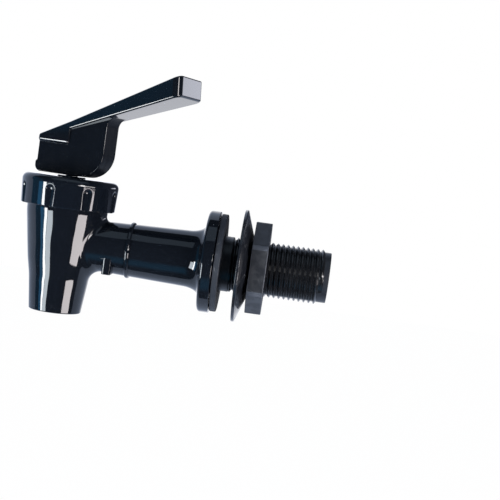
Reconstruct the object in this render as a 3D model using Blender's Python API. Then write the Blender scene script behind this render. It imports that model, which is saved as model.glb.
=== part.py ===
"""Beverage dispenser spigot with its lever, lift valve, flange washer, cone washer and lock nut.

Frame: metres, +Z up with the spout pointing down, +X along the threaded shank from the spout
to the nut. The origin is on the shank's axis, at the rear face of the body's flange.
"""

import math

import bmesh
import bpy
from mathutils import Matrix

MM = 0.001

FIT = 0.3 * MM  # gap left between two pieces that touch
PAST = 1.0 * MM  # how far a cutting tool reaches past what it cuts
BODY_SEGMENTS = 56  # facets round the body's spout, neck and shank

# Flange and shank, measured from the flange's rear face
SHANK_R = 11.0 * MM  # crest of the thread
FLANGE_W = 9.4 * MM  # how far the flange stands out from the thread
FLANGE_R = SHANK_R + FLANGE_W
FLANGE_T = 4.6 * MM
FLANGE_EDGE_R = 1.3 * MM
FLANGE_DISH = 0.7 * MM  # the front face stands this much prouder at its middle
FLARE_W = 3.6 * MM
FLARE_TOP_R = SHANK_R + FLARE_W  # where the trumpet flare meets the flange
FLARE_L = 7.4 * MM
SHANK_ROOT_DEPTH = 0.95 * MM
SHANK_PLAIN_L = 6.4 * MM
THREAD_L = 36.1 * MM
THREAD_PITCH = 2.0 * MM
THREAD_FIRST = 0.1 * MM  # from the thread's start to a root on the +Y side
THREAD_COLUMNS = BODY_SEGMENTS // 2  # every second facet of the body
PILOT_L = 3.0 * MM
PILOT_R = SHANK_R - SHANK_ROOT_DEPTH
SHANK_WALL = 3.5 * MM
INLET_R = SHANK_R - SHANK_WALL

# Neck between the flange and the spout
SPOUT_REACH = 61.7 * MM  # from the flange's rear face to the spout's axis
NECK_PROUD = 0.3 * MM  # the neck by the flange is this much thicker than the thread
NECK_TAPER = 1.15 * MM
NECK_R_FLANGE = SHANK_R + NECK_PROUD
NECK_R_SPOUT = NECK_R_FLANGE - NECK_TAPER
BEAD_OUT = 27.3 * MM  # from the spout's axis
BEAD_W = 1.8 * MM
BEAD_PROUD = 1.0 * MM
LUG_OUT = 19.9 * MM  # from the spout's axis
LUG_W = 4.0 * MM
LUG_PROUD = 0.7 * MM
LUG_HALF_ANGLE = math.radians(59.0)
LUG_BURY = 1.5 * MM  # how deep the lug's own tool lies in the neck
BLEND_R_LOW = 5.0 * MM
BLEND_R_TOP = 2.0 * MM
BLEND_BURY = 1.5 * MM  # how deep the blend starts inside the spout's wall

# Spout and valve chamber, heights measured from the shank's axis
SPOUT_DROP = 28.2 * MM
SPOUT_R_LOW = 10.5 * MM
SPOUT_R_MID = 12.4 * MM
SPOUT_R_AXIS = 14.55 * MM  # level with the shank's axis
SPOUT_EDGE_R = 0.5 * MM
SPOUT_WALL = 1.7 * MM
CHAMBER_R_OUT = 16.1 * MM
CHAMBER_WALL = 2.9 * MM
CHAMBER_Z_STRAIGHT = 11.5 * MM
CHAMBER_TOP = 21.0 * MM
CHAMBER_R_IN = CHAMBER_R_OUT - CHAMBER_WALL
CHAMBER_R_FLOOR = SPOUT_R_MID - SPOUT_WALL
FLOOR_DROP = 2.0 * MM  # the chamber's floor lies this far below the inlet
CHAMBER_FLOOR = -INLET_R - FLOOR_DROP
SEAT_R = 5.0 * MM
SEAT_LIP_W = 1.2 * MM
SEAT_LIP_H = 0.9 * MM
SEAT_T = 2.4 * MM
SPOUT_BORE_FLARE = 1.2 * MM
SPOUT_BORE_R_LOW = SPOUT_R_LOW - SPOUT_WALL
SPOUT_BORE_R_TOP = SPOUT_BORE_R_LOW - SPOUT_BORE_FLARE

# Bonnet
BONNET_WALL = 2.3 * MM
BONNET_FLARE = 0.7 * MM  # the top is this much wider than the rim
BONNET_EDGE = 0.4 * MM
BONNET_R_LOW = CHAMBER_R_OUT + FIT + BONNET_WALL
BONNET_R_TOP = BONNET_R_LOW + BONNET_FLARE
BONNET_RIM_H = 6.6 * MM  # how far the bonnet's rim reaches down over the chamber
BONNET_RIM_Z = CHAMBER_TOP - BONNET_RIM_H
BONNET_TOP_T = 2.8 * MM
BONNET_TOP_Z = CHAMBER_TOP + 2.0 * MM + BONNET_TOP_T
BONNET_SHOULDER_R = 2.6 * MM
BOSS_R = 5.3 * MM
BOSS_H = 0.4 * MM
FLUTES = 8
FLUTE_FIRST = math.radians(22.5)
FLUTE_R = 2.3 * MM
FLUTE_DEPTH = 1.3 * MM
FLUTE_TOP_Z = 21.6 * MM

# Stem, hinge pin, spring seat and spring
STEM_R = 2.4 * MM
STEM_HOLE_GAP = 0.35 * MM
STEM_SHOULDER_R = 4.6 * MM
STEM_SHOULDER_H = 1.4 * MM
KNOB_EDGE = 0.4 * MM
KNOB_R = 3.4 * MM
KNOB_H = 1.2 * MM
KNOB_NECK_R = 2.0 * MM
KNOB_NECK_H = 1.4 * MM
ROD_TOP_H = 1.8 * MM  # where the round rod ends above the lever's bottom
ROD_OVERLAP = 0.5 * MM
EYE_T = 4.4 * MM
EYE_R = 3.2 * MM
PIN_R = 1.25 * MM
PIN_EDGE = 0.25 * MM
PIN_H = 6.1 * MM  # pin axis above the lever's flat bottom
PIN_COVER = 1.2 * MM  # wall left over the pin's blind end
SPRING_MEAN_R = 4.6 * MM
SPRING_WIRE_R = 0.5 * MM
SPRING_TURNS = 7
SPRING_SEAT_R = SPRING_MEAN_R + SPRING_WIRE_R + 2 * FIT
SPRING_SEAT_T = 1.2 * MM
SPRING_SEAT_LIP_H = 1.0 * MM

# Silicone seat cup
CUP_RIM_R = CHAMBER_R_OUT - 2 * FIT
CUP_RIM_T = 1.4 * MM
CUP_WATERWAY = 1.8 * MM  # room for the drink between the cup and the chamber's wall
CUP_SEAT_LAP = 2.4 * MM
CUP_R_TOP = CHAMBER_R_IN - CUP_WATERWAY
CUP_R_LOW = SEAT_R + CUP_SEAT_LAP
CUP_WALL = 1.1 * MM
CUP_PLUG_T = 3.4 * MM
CUP_PLUG_EDGE = 0.6 * MM
CUP_SHOULDER = 0.8 * MM

# Lever, in its own frame: u along the lever from the stem's axis, w across it
LEVER_SWIVEL = math.radians(-20.0)
SLOT_GAP = 0.3 * MM
SLOT_HALF_U = 4.8 * MM
LEVER_CHEEK_T = 2.4 * MM
LEVER_BLOCK_W = EYE_T + 2 * (SLOT_GAP + LEVER_CHEEK_T)
LEVER_EDGE_R = 0.6 * MM
LEVER_TOP_BURY = 1.2 * MM  # how far the block's top stays under the paddle's
LEVER_TOP_STEP = 4.0 * MM
THROAT_BURY = 1.0 * MM
LEVER_REAR_U = -14.0 * MM
LEVER_HEEL_PROUD = 0.7 * MM
LEVER_HEEL_H = 4.6 * MM
LEVER_HEEL_R = 2.4 * MM
LEVER_FRONT_U = 15.7 * MM
LEVER_CAM_R = 10.0 * MM
LEVER_THROAT_R = 4.5 * MM
SKIRT_PROUD = 1.1 * MM
SKIRT_W = LEVER_BLOCK_W + 2 * SKIRT_PROUD
SKIRT_H = 11.9 * MM  # lower edge of the skirt above the lever's bottom
SKIRT_FRONT_U = -0.3 * MM
PADDLE_TIP_U = 47.2 * MM
PADDLE_TIP_DRAFT = 0.7 * MM  # the tip's lower edge reaches this much further
PADDLE_TIP_W = 22.0 * MM
PADDLE_TIP_R = 2.7 * MM
PADDLE_TOP_H = 21.4 * MM  # top face above the lever's bottom, at the stem's axis
PADDLE_TOP_SLOPE = 0.472
PADDLE_UNDER_H = 18.2 * MM
PADDLE_UNDER_SLOPE = 0.36
PADDLE_EDGE_R = 0.5 * MM

# Washers and nut on the shank
FLAT_WASHER_INSET = 0.8 * MM  # it lies this far inside the flange's edge
FLAT_WASHER_PLAY = 1.2 * MM
FLAT_WASHER_EDGE = 0.25 * MM
FLAT_WASHER_R = FLANGE_R - FLAT_WASHER_INSET
FLAT_WASHER_BORE_R = SHANK_R + FLAT_WASHER_PLAY
FLAT_WASHER_T = 2.5 * MM
WALL_GAP = 6.5 * MM  # room left for the dispenser's wall
CONE_WASHER_PROUD = 2.1 * MM  # it reaches this far past the flange's edge
CONE_WASHER_PLAY = 1.35 * MM
CONE_WASHER_EDGE = 0.3 * MM
CONE_WASHER_R = FLANGE_R + CONE_WASHER_PROUD
CONE_WASHER_BORE_R = SHANK_R + CONE_WASHER_PLAY
CONE_WASHER_RIM_T = 1.2 * MM
CONE_WASHER_T = 4.6 * MM
NUT_SINK_W = 2.8 * MM
NUT_SINK_DEPTH = 1.3 * MM
NUT_WALL = 2.6 * MM  # left between the countersink and a flat
NUT_SINK_R = SHANK_R + NUT_SINK_W
NUT_FLATS = 2 * (NUT_SINK_R + NUT_WALL)
NUT_CORNER_R = 0.5625 * NUT_FLATS
NUT_CORNER_STEPS = 5
NUT_T = 6.5 * MM

LEVER_BOTTOM = BONNET_TOP_Z + BOSS_H + FIT
PIN_Z = LEVER_BOTTOM + PIN_H
BONNET_CEILING = BONNET_TOP_Z - BONNET_TOP_T
SEAT_TOP = CHAMBER_FLOOR + SEAT_LIP_H
PLUG_TOP = SEAT_TOP + FIT + CUP_PLUG_T
SHOULDER_Z = PLUG_TOP + FIT
SPRING_SEAT_Z = SHOULDER_Z + STEM_SHOULDER_H + FIT
SHANK_L = SHANK_PLAIN_L + THREAD_L + PILOT_L


def clear_scene():
    for obj in list(bpy.data.objects):
        bpy.data.objects.remove(obj, do_unlink=True)


def plastic(name, colour, roughness, metallic=0.0):
    material = bpy.data.materials.new(name)
    material.use_nodes = True
    shader = material.node_tree.nodes["Principled BSDF"]
    shader.inputs["Base Color"].default_value = (*colour, 1.0)
    shader.inputs["Roughness"].default_value = roughness
    shader.inputs["Metallic"].default_value = metallic
    return material


def to_object(name, bm, origin=(0.0, 0.0, 0.0), material=None):
    """Closes the bmesh into an object whose origin is at the given world point."""
    bmesh.ops.remove_doubles(bm, verts=bm.verts, dist=1e-7)
    bmesh.ops.recalc_face_normals(bm, faces=bm.faces)
    if bm.calc_volume(signed=True) < 0.0:
        bmesh.ops.reverse_faces(bm, faces=bm.faces)
    bm.transform(Matrix.Translation([-c for c in origin]))
    mesh = bpy.data.meshes.new(name)
    bm.to_mesh(mesh)
    bm.free()
    obj = bpy.data.objects.new(name, mesh)
    obj.location = origin
    bpy.context.scene.collection.objects.link(obj)
    if material is not None:
        mesh.materials.append(material)
    return obj


def as_cutter(obj):
    obj.hide_render = True
    obj.display_type = "WIRE"
    return obj


def combine(obj, tool, operation):
    """Adds a live EXACT Boolean and hides its tool."""
    modifier = obj.modifiers.new(f"{operation.lower()} {tool.name}", "BOOLEAN")
    modifier.operation = operation
    modifier.solver = "EXACT"
    modifier.object = as_cutter(tool)
    return modifier


def weld(obj):
    """Merges the slivers that a Boolean leaves where two curved faces meet."""
    modifier = obj.modifiers.new("weld", "WELD")
    modifier.merge_threshold = 0.006 * MM
    return modifier


def arc(cx, cy, radius, start, end, steps):
    """Points on an arc in a plane; the angles are in degrees."""
    points = []
    for i in range(steps + 1):
        a = math.radians(start + (end - start) * i / steps)
        points.append((cx + radius * math.cos(a), cy + radius * math.sin(a)))
    return points


def revolve(bm, profile, segments, axis="Z", centre_x=0.0, closed=False):
    """Turns (radius, height) points round Z at centre_x, or round the X axis."""
    rings = []
    for radius, height in profile:
        if radius < 1e-9:
            spots = [(0.0, 0.0)]
        else:
            turn = 2.0 * math.pi / segments
            spots = [
                (radius * math.cos(turn * i), radius * math.sin(turn * i))
                for i in range(segments)
            ]
        if axis == "Z":
            rings.append([bm.verts.new((centre_x + a, b, height)) for a, b in spots])
        else:
            rings.append([bm.verts.new((height, a, b)) for a, b in spots])
    pairs = list(zip(rings, rings[1:]))
    if closed:
        pairs.append((rings[-1], rings[0]))
    for low, high in pairs:
        for i in range(segments):
            j = (i + 1) % segments
            if len(low) == 1:
                bm.faces.new((low[0], high[i], high[j]))
            elif len(high) == 1:
                bm.faces.new((low[i], high[0], low[j]))
            else:
                bm.faces.new((low[i], high[i], high[j], low[j]))


def prism(bm, outline, half_width):
    """Extrudes an outline of (u, z) points to both sides of the plane y = 0."""
    near = [bm.verts.new((u, -half_width, z)) for u, z in outline]
    far = [bm.verts.new((u, half_width, z)) for u, z in outline]
    bm.faces.new(near)
    bm.faces.new(list(reversed(far)))
    count = len(outline)
    for i in range(count):
        j = (i + 1) % count
        bm.faces.new((near[i], far[i], far[j], near[j]))
    return near, far


def spout_wall():
    """Outside of the spout and chamber as (radius, z) points, from the bottom up."""
    edge = SPOUT_EDGE_R
    return [
        (SPOUT_R_LOW - edge, -SPOUT_DROP),
        (SPOUT_R_LOW - edge * 0.3, -SPOUT_DROP + edge * 0.3),
        (SPOUT_R_LOW, -SPOUT_DROP + edge),
        (SPOUT_R_LOW + (SPOUT_R_MID - SPOUT_R_LOW) * 0.32, -SPOUT_DROP * 0.7),
        (SPOUT_R_MID, -SPOUT_DROP * 0.45),
        (SPOUT_R_AXIS, 0.0),
        (CHAMBER_R_OUT, CHAMBER_Z_STRAIGHT),
        (CHAMBER_R_OUT, CHAMBER_TOP),
    ]


def spout_radius(z):
    """Outside radius of the spout and chamber at a height."""
    points = spout_wall()
    for (r0, z0), (r1, z1) in zip(points, points[1:]):
        if z <= z1:
            return r0 + (r1 - r0) * max(0.0, (z - z0) / (z1 - z0))
    return CHAMBER_R_OUT


def neck_radius(x):
    """Radius of the plain neck at a distance along the shank's axis."""
    start = -SPOUT_REACH + CHAMBER_R_OUT
    end = -FLANGE_T - FLARE_L
    t = min(1.0, max(0.0, (x - start) / (end - start)))
    return NECK_R_SPOUT + (NECK_R_FLANGE - NECK_R_SPOUT) * t


def blend_section(angle, radius, blend, steps):
    """Fillet from the neck to the spout's wall in one plane through the neck's axis.

    Returns (x, radius) points from inside the wall to the neck. The fillet's centre is as near
    to the spout as it can be without the fillet's circle entering the wall.
    """
    centre_r = radius + blend
    best = None
    for i in range(61):
        r = radius + blend * i / 60
        y = r * math.cos(angle)
        inside = spout_radius(r * math.sin(angle)) ** 2 - y ** 2
        if inside <= 0.0:
            continue
        wall = -SPOUT_REACH + math.sqrt(inside)
        centre = wall + math.sqrt(max(0.0, blend ** 2 - (centre_r - r) ** 2))
        if best is None or centre > best[0]:
            best = (centre, wall, r)
    centre, wall, r = best
    touch = math.atan2(r - centre_r, wall - centre)
    if touch > 0.0:
        touch -= 2.0 * math.pi
    section = [(wall - BLEND_BURY, r - BLEND_BURY / 3)]
    for i in range(steps + 1):
        a = touch + (-math.pi / 2 - touch) * i / steps
        section.append((centre + blend * math.cos(a), centre_r + blend * math.sin(a)))
    return section


def blend_rings(bm):
    """Rings that fair the neck into the spout, each following where the two would meet."""
    sections = []
    for i in range(BODY_SEGMENTS):
        a = 2.0 * math.pi * i / BODY_SEGMENTS
        low = 0.5 * (1.0 - math.sin(a))
        blend = BLEND_R_TOP + (BLEND_R_LOW - BLEND_R_TOP) * low ** 2
        section = blend_section(a, NECK_R_SPOUT, blend, 6)
        sections.append([(x, r * math.cos(a), r * math.sin(a)) for x, r in section])
    return [[bm.verts.new(s[k]) for s in sections] for k in range(len(sections[0]))]


def neck_profile():
    """Bead, trumpet flare, flange and shank as (radius, x) points along the shank's axis."""
    bead = -SPOUT_REACH + BEAD_OUT
    root = neck_radius(bead)
    profile = []
    for share, rise in ((-0.5, 0.0), (-0.34, 0.72), (0.0, 1.0), (0.34, 0.72), (0.5, 0.0)):
        profile.append((root + BEAD_PROUD * rise, bead + BEAD_W * share))
    front = -FLANGE_T - FLANGE_DISH
    flare_start = -FLANGE_T - FLARE_L
    for i in range(9):
        a = math.radians(90.0 * i / 8)
        x = flare_start + (front - flare_start) * math.sin(a)
        radius = NECK_R_FLANGE + (FLARE_TOP_R - NECK_R_FLANGE) * (1.0 - math.cos(a))
        profile.append((radius, x))
    edge = FLANGE_R - FLANGE_EDGE_R
    for x, radius in arc(-FLANGE_T + FLANGE_EDGE_R, edge, FLANGE_EDGE_R, 180.0, 90.0, 4):
        profile.append((radius, x))
    profile.append((FLANGE_R, -FLANGE_EDGE_R * 0.25))
    profile.append((FLANGE_R - FLANGE_EDGE_R * 0.25, 0.0))
    profile.append((SHANK_R, 0.0))
    profile.append((SHANK_R, SHANK_PLAIN_L))
    return profile


def thread_column(bm, j):
    """One lengthwise line of the thread: its roots and crests, shifted by this column's turn."""
    a = 2.0 * math.pi * j / THREAD_COLUMNS
    start = SHANK_PLAIN_L + SHANK_ROOT_DEPTH * 0.4
    end = SHANK_PLAIN_L + THREAD_L
    spots = [(start, PILOT_R)]
    half_turns = int(2.0 * THREAD_L / THREAD_PITCH)
    for i in range(-2, half_turns + 1):
        x = SHANK_PLAIN_L + THREAD_FIRST + THREAD_PITCH * (i / 2 + j / THREAD_COLUMNS)
        if start + THREAD_PITCH * 0.2 < x < end - THREAD_PITCH * 0.2:
            spots.append((x, SHANK_R if i % 2 else PILOT_R))
    spots.append((end, PILOT_R))
    return [bm.verts.new((x, r * math.cos(a), r * math.sin(a))) for x, r in spots]


def stitch(bm, line, after):
    """Joins two neighbouring lines of points with triangles, taking the points in order of x."""
    i = k = 0
    while i < len(line) - 1 or k < len(after) - 1:
        ahead = line[i + 1].co.x if i < len(line) - 1 else math.inf
        other = after[k + 1].co.x if k < len(after) - 1 else math.inf
        if ahead <= other:
            bm.faces.new((line[i], line[i + 1], after[k]))
            i += 1
        else:
            bm.faces.new((line[i], after[k + 1], after[k]))
            k += 1


def thread_skin(bm, plain_ring, pilot_ring):
    """Right-hand thread between the shank's plain ring and the pilot's end."""
    columns = [thread_column(bm, j) for j in range(THREAD_COLUMNS)]
    for j, line in enumerate(columns):
        after = columns[(j + 1) % THREAD_COLUMNS]
        stitch(bm, line, after)
        near = [plain_ring[(2 * j + step) % BODY_SEGMENTS] for step in range(3)]
        bm.faces.new((near[0], line[0], after[0], near[2], near[1]))
        far = [pilot_ring[(2 * j + step) % BODY_SEGMENTS] for step in range(3)]
        bm.faces.new((line[-1], far[0], far[1], far[2], after[-1]))


def shank_ring(bm, radius, x):
    """Ring of points round the shank's axis."""
    turn = 2.0 * math.pi / BODY_SEGMENTS
    return [
        bm.verts.new((x, radius * math.cos(turn * i), radius * math.sin(turn * i)))
        for i in range(BODY_SEGMENTS)
    ]


def neck_and_shank():
    """Neck with its blend into the spout, bead, trumpet flare, flange and shank."""
    bm = bmesh.new()
    rings = blend_rings(bm)
    rings += [shank_ring(bm, radius, x) for radius, x in neck_profile()]
    for low_ring, high_ring in zip(rings, rings[1:]):
        for i in range(BODY_SEGMENTS):
            j = (i + 1) % BODY_SEGMENTS
            bm.faces.new((low_ring[i], high_ring[i], high_ring[j], low_ring[j]))
    pilot_ring = shank_ring(bm, PILOT_R, SHANK_L)
    thread_skin(bm, rings[-1], pilot_ring)
    for ring, x in ((rings[0], -SPOUT_REACH + SEAT_R), (pilot_ring, SHANK_L)):
        tip = bm.verts.new((x, 0.0, 0.0))
        for i in range(BODY_SEGMENTS):
            bm.faces.new((ring[i], tip, ring[(i + 1) % BODY_SEGMENTS]))
    bmesh.ops.triangulate(bm, faces=[f for f in bm.faces if len(f.verts) > 3])
    return to_object("neck tool", bm)


def neck_lug():
    """Curved pad under the neck, between the spout and the bead."""
    bm = bmesh.new()
    x0 = -SPOUT_REACH + LUG_OUT - LUG_W / 2
    x1 = x0 + LUG_W
    outer = neck_radius(x0) + LUG_PROUD
    inner = neck_radius(x0) - LUG_BURY
    steps = 14
    ends = []
    for x in (x0, x1):
        outline = []
        for radius, order in ((outer, 1), (inner, -1)):
            for i in range(steps + 1):
                a = -LUG_HALF_ANGLE + 2 * LUG_HALF_ANGLE * i / steps
                a *= order
                outline.append(bm.verts.new((x, radius * math.sin(a), -radius * math.cos(a))))
        ends.append(outline)
    count = len(ends[0])
    bm.faces.new(ends[0])
    bm.faces.new(list(reversed(ends[1])))
    for i in range(count):
        j = (i + 1) % count
        bm.faces.new((ends[0][i], ends[1][i], ends[1][j], ends[0][j]))
    return to_object("lug tool", bm)


def hollow_tool():
    """Hollow of the valve chamber and the spout, with the raised seat left between them."""
    bm = bmesh.new()
    lip_out = SEAT_R + SEAT_LIP_W
    profile = [
        (0.0, CHAMBER_TOP + PAST),
        (CHAMBER_R_IN, CHAMBER_TOP + PAST),
        (CHAMBER_R_IN, CHAMBER_Z_STRAIGHT),
        (CHAMBER_R_FLOOR, CHAMBER_FLOOR),
        (lip_out, CHAMBER_FLOOR),
        (lip_out - SEAT_LIP_W * 0.3, SEAT_TOP),
        (SEAT_R + SEAT_LIP_W * 0.2, SEAT_TOP),
        (SEAT_R, SEAT_TOP - SEAT_LIP_W * 0.3),
        (SEAT_R, CHAMBER_FLOOR - SEAT_T),
        (SPOUT_BORE_R_TOP, CHAMBER_FLOOR - SEAT_T),
        (SPOUT_BORE_R_LOW, -SPOUT_DROP - PAST),
        (0.0, -SPOUT_DROP - PAST),
    ]
    revolve(bm, profile, BODY_SEGMENTS, centre_x=-SPOUT_REACH)
    hollow = to_object("hollow tool", bm)
    combine(hollow, inlet_tool(), "UNION")
    return hollow


def inlet_tool():
    bm = bmesh.new()
    start = -SPOUT_REACH + SEAT_R
    profile = [
        (0.0, start),
        (INLET_R, start),
        (INLET_R, SHANK_L + PAST),
        (0.0, SHANK_L + PAST),
    ]
    revolve(bm, profile, 40, axis="X")
    return to_object("inlet tool", bm)


def make_body():
    """One moulding: spout, valve chamber, neck, flange and shank."""
    bm = bmesh.new()
    profile = [(0.0, -SPOUT_DROP)] + spout_wall() + [(0.0, CHAMBER_TOP)]
    revolve(bm, profile, BODY_SEGMENTS, centre_x=-SPOUT_REACH)
    body = to_object("body", bm, material=plastic("black moulded body", (0.012, 0.014, 0.02), 0.12))
    combine(body, neck_and_shank(), "UNION")
    combine(body, neck_lug(), "UNION")
    weld(body)
    combine(body, hollow_tool(), "DIFFERENCE")
    weld(body)
    return body


def flutes_tool():
    """Round-topped grooves that open at the bonnet's lower rim."""
    bm = bmesh.new()
    reach = BONNET_R_TOP + FLUTE_R - FLUTE_DEPTH
    for n in range(FLUTES):
        a = FLUTE_FIRST + 2.0 * math.pi * n / FLUTES
        cx = -SPOUT_REACH + reach * math.cos(a)
        cy = reach * math.sin(a)
        part = bmesh.new()
        profile = [(0.0, BONNET_RIM_Z - PAST), (FLUTE_R, BONNET_RIM_Z - PAST)]
        profile += arc(0.0, FLUTE_TOP_Z - FLUTE_R, FLUTE_R, 0.0, 72.0, 3)
        profile.append((0.0, FLUTE_TOP_Z))
        revolve(part, profile, 16)
        part.transform(Matrix.Translation((cx, cy, 0.0)))
        holder = bpy.data.meshes.new("flute")
        part.to_mesh(holder)
        part.free()
        bm.from_mesh(holder)
        bpy.data.meshes.remove(holder)
    return to_object("flutes tool", bm)


def make_bonnet():
    bm = bmesh.new()
    bore = CHAMBER_R_OUT + FIT
    shoulder_z = BONNET_TOP_Z - BONNET_SHOULDER_R
    profile = [
        (bore, BONNET_RIM_Z),
        (BONNET_R_LOW - BONNET_EDGE, BONNET_RIM_Z),
        (BONNET_R_LOW, BONNET_RIM_Z + BONNET_EDGE),
    ]
    profile += arc(BONNET_R_TOP - BONNET_SHOULDER_R, shoulder_z, BONNET_SHOULDER_R, 0.0, 90.0, 6)
    hole = STEM_R + STEM_HOLE_GAP
    profile += [
        (BOSS_R + BOSS_H, BONNET_TOP_Z),
        (BOSS_R, BONNET_TOP_Z + BOSS_H),
        (hole, BONNET_TOP_Z + BOSS_H),
        (hole, BONNET_CEILING),
        (bore, BONNET_CEILING),
    ]
    revolve(bm, profile, 64, centre_x=-SPOUT_REACH, closed=True)
    origin = (-SPOUT_REACH, 0.0, BONNET_RIM_Z)
    colour = plastic("black moulded bonnet", (0.012, 0.015, 0.022), 0.13)
    bonnet = to_object("bonnet", bm, origin, colour)
    combine(bonnet, flutes_tool(), "DIFFERENCE")
    return bonnet


def paddle_top(u):
    return LEVER_BOTTOM + PADDLE_TOP_H + PADDLE_TOP_SLOPE * u


def paddle_under(u):
    return LEVER_BOTTOM + PADDLE_UNDER_H + PADDLE_UNDER_SLOPE * u


def lever_outline():
    """Side outline of the lever's block: heel, flat bottom, cam, front face and throat."""
    z0 = LEVER_BOTTOM
    heel_u = LEVER_REAR_U - LEVER_HEEL_PROUD
    points = [(LEVER_REAR_U, paddle_top(LEVER_REAR_U) - LEVER_TOP_BURY)]
    points.append((LEVER_REAR_U, z0 + LEVER_HEEL_H))
    points.append((heel_u, z0 + LEVER_HEEL_H - LEVER_HEEL_PROUD))
    points += arc(heel_u + LEVER_HEEL_R, z0 + LEVER_HEEL_R, LEVER_HEEL_R, 180.0, 270.0, 4)
    points += arc(LEVER_FRONT_U - LEVER_CAM_R, z0 + LEVER_CAM_R, LEVER_CAM_R, -90.0, 0.0, 10)
    slope = math.degrees(math.atan(PADDLE_UNDER_SLOPE))
    centre_u = LEVER_FRONT_U + LEVER_THROAT_R
    drop = LEVER_THROAT_R / math.cos(math.radians(slope))
    centre_z = paddle_under(centre_u) - drop
    points += arc(centre_u, centre_z, LEVER_THROAT_R, 180.0, 90.0 + slope, 6)
    last_u = points[-1][0]
    points.append((last_u, paddle_under(last_u) + THROAT_BURY))
    step_u = LEVER_REAR_U + LEVER_TOP_STEP
    points.append((step_u, paddle_top(step_u) - LEVER_TOP_BURY))
    return points


def make_paddle_tool():
    """Flared paddle with its deeper rear skirt."""
    bm = bmesh.new()
    half_rear = SKIRT_W / 2
    half_tip = PADDLE_TIP_W / 2
    run = PADDLE_TIP_U - SKIRT_FRONT_U
    flare = math.degrees(math.atan((half_tip - half_rear) / run))
    r = PADDLE_TIP_R
    lean = math.radians(flare)
    cu = PADDLE_TIP_U - r
    cw = half_rear + (cu - SKIRT_FRONT_U) * math.tan(lean) - r / math.cos(lean)
    corner = arc(cu, cw, r, 90.0 + flare, 0.0, 5)
    near_front = [(u, -w) for u, w in corner]
    far_front = [(u, w) for u, w in reversed(corner)]
    front = [(SKIRT_FRONT_U, -half_rear)] + near_front + far_front + [(SKIRT_FRONT_U, half_rear)]
    rear = [(LEVER_REAR_U, half_rear), (LEVER_REAR_U, -half_rear)]
    top = [bm.verts.new((u, w, paddle_top(u))) for u, w in front + rear]
    under = [(SKIRT_FRONT_U, -half_rear)]
    under += [(u + PADDLE_TIP_DRAFT, w) for u, w in near_front + far_front]
    under.append((SKIRT_FRONT_U, half_rear))
    low = [bm.verts.new((u, w, paddle_under(u))) for u, w in under]
    skirt_z = LEVER_BOTTOM + SKIRT_H
    skirt = [
        bm.verts.new((u, w, skirt_z))
        for u, w in [front[-1]] + rear + [front[0]]
    ]
    count = len(front)
    top_face = bm.faces.new(top)
    bm.faces.new(list(reversed(low)))
    for i in range(count - 1):
        bm.faces.new((low[i], low[i + 1], top[i + 1], top[i]))
    bm.faces.new((low[-1], skirt[0], skirt[1], top[count], top[count - 1]))
    bm.faces.new((skirt[1], skirt[2], top[count + 1], top[count]))
    bm.faces.new((skirt[2], skirt[3], low[0], top[0], top[count + 1]))
    bm.faces.new((skirt[3], skirt[0], low[-1], low[0]))
    bm.faces.new(skirt)
    rim = list(top_face.edges)
    bmesh.ops.bevel(bm, geom=rim, offset=PADDLE_EDGE_R, segments=2, profile=0.5, affect="EDGES")
    return bm


def lever_space(bm):
    """Turns lever coordinates into world ones: the swivel about the stem's axis."""
    bm.transform(Matrix.Translation((-SPOUT_REACH, 0.0, 0.0)) @ Matrix.Rotation(LEVER_SWIVEL, 4, "Z"))
    return bm


def make_lever():
    """Lever with its paddle, cam block, stem slot and blind pin hole."""
    bm = bmesh.new()
    near, far = prism(bm, lever_outline(), LEVER_BLOCK_W / 2)
    edges = [e for e in bm.edges if (e.verts[0] in near) == (e.verts[1] in near)]
    bmesh.ops.bevel(bm, geom=edges, offset=LEVER_EDGE_R, segments=2, profile=0.5, affect="EDGES")
    pivot = (-SPOUT_REACH, 0.0, PIN_Z)
    colour = plastic("black moulded lever", (0.011, 0.013, 0.019), 0.15)
    lever = to_object("lever", lever_space(bm), pivot, colour)
    combine(lever, to_object("paddle tool", lever_space(make_paddle_tool())), "UNION")
    slot = bmesh.new()
    ceiling = PIN_Z + EYE_R + SLOT_GAP
    outline = [
        (-SLOT_HALF_U, LEVER_BOTTOM - PAST),
        (SLOT_HALF_U, LEVER_BOTTOM - PAST),
        (SLOT_HALF_U, ceiling),
        (-SLOT_HALF_U, ceiling),
    ]
    prism(slot, outline, EYE_T / 2 + SLOT_GAP)
    combine(lever, to_object("slot tool", lever_space(slot)), "DIFFERENCE")
    hole = bmesh.new()
    start = -LEVER_BLOCK_W / 2 + PIN_COVER
    profile = [(0.0, start), (PIN_R + FIT, start)]
    profile += [(PIN_R + FIT, LEVER_BLOCK_W), (0.0, LEVER_BLOCK_W)]
    revolve(hole, profile, 20)
    hole.transform(Matrix.Translation((0.0, 0.0, PIN_Z)) @ Matrix.Rotation(-math.pi / 2, 4, "X"))
    combine(lever, to_object("pin hole tool", lever_space(hole)), "DIFFERENCE")
    return lever


def make_pin():
    bm = bmesh.new()
    start = -LEVER_BLOCK_W / 2 + PIN_COVER + FIT
    end = LEVER_BLOCK_W / 2 - FIT
    profile = [
        (0.0, start),
        (PIN_R - PIN_EDGE, start),
        (PIN_R, start + PIN_EDGE),
        (PIN_R, end - PIN_EDGE),
        (PIN_R - PIN_EDGE, end),
        (0.0, end),
    ]
    revolve(bm, profile, 20)
    bm.transform(Matrix.Translation((0.0, 0.0, PIN_Z)) @ Matrix.Rotation(-math.pi / 2, 4, "X"))
    steel = plastic("steel pin", (0.55, 0.56, 0.58), 0.3, 1.0)
    return to_object("hinge_pin", lever_space(bm), (-SPOUT_REACH, 0.0, PIN_Z), steel)


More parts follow.
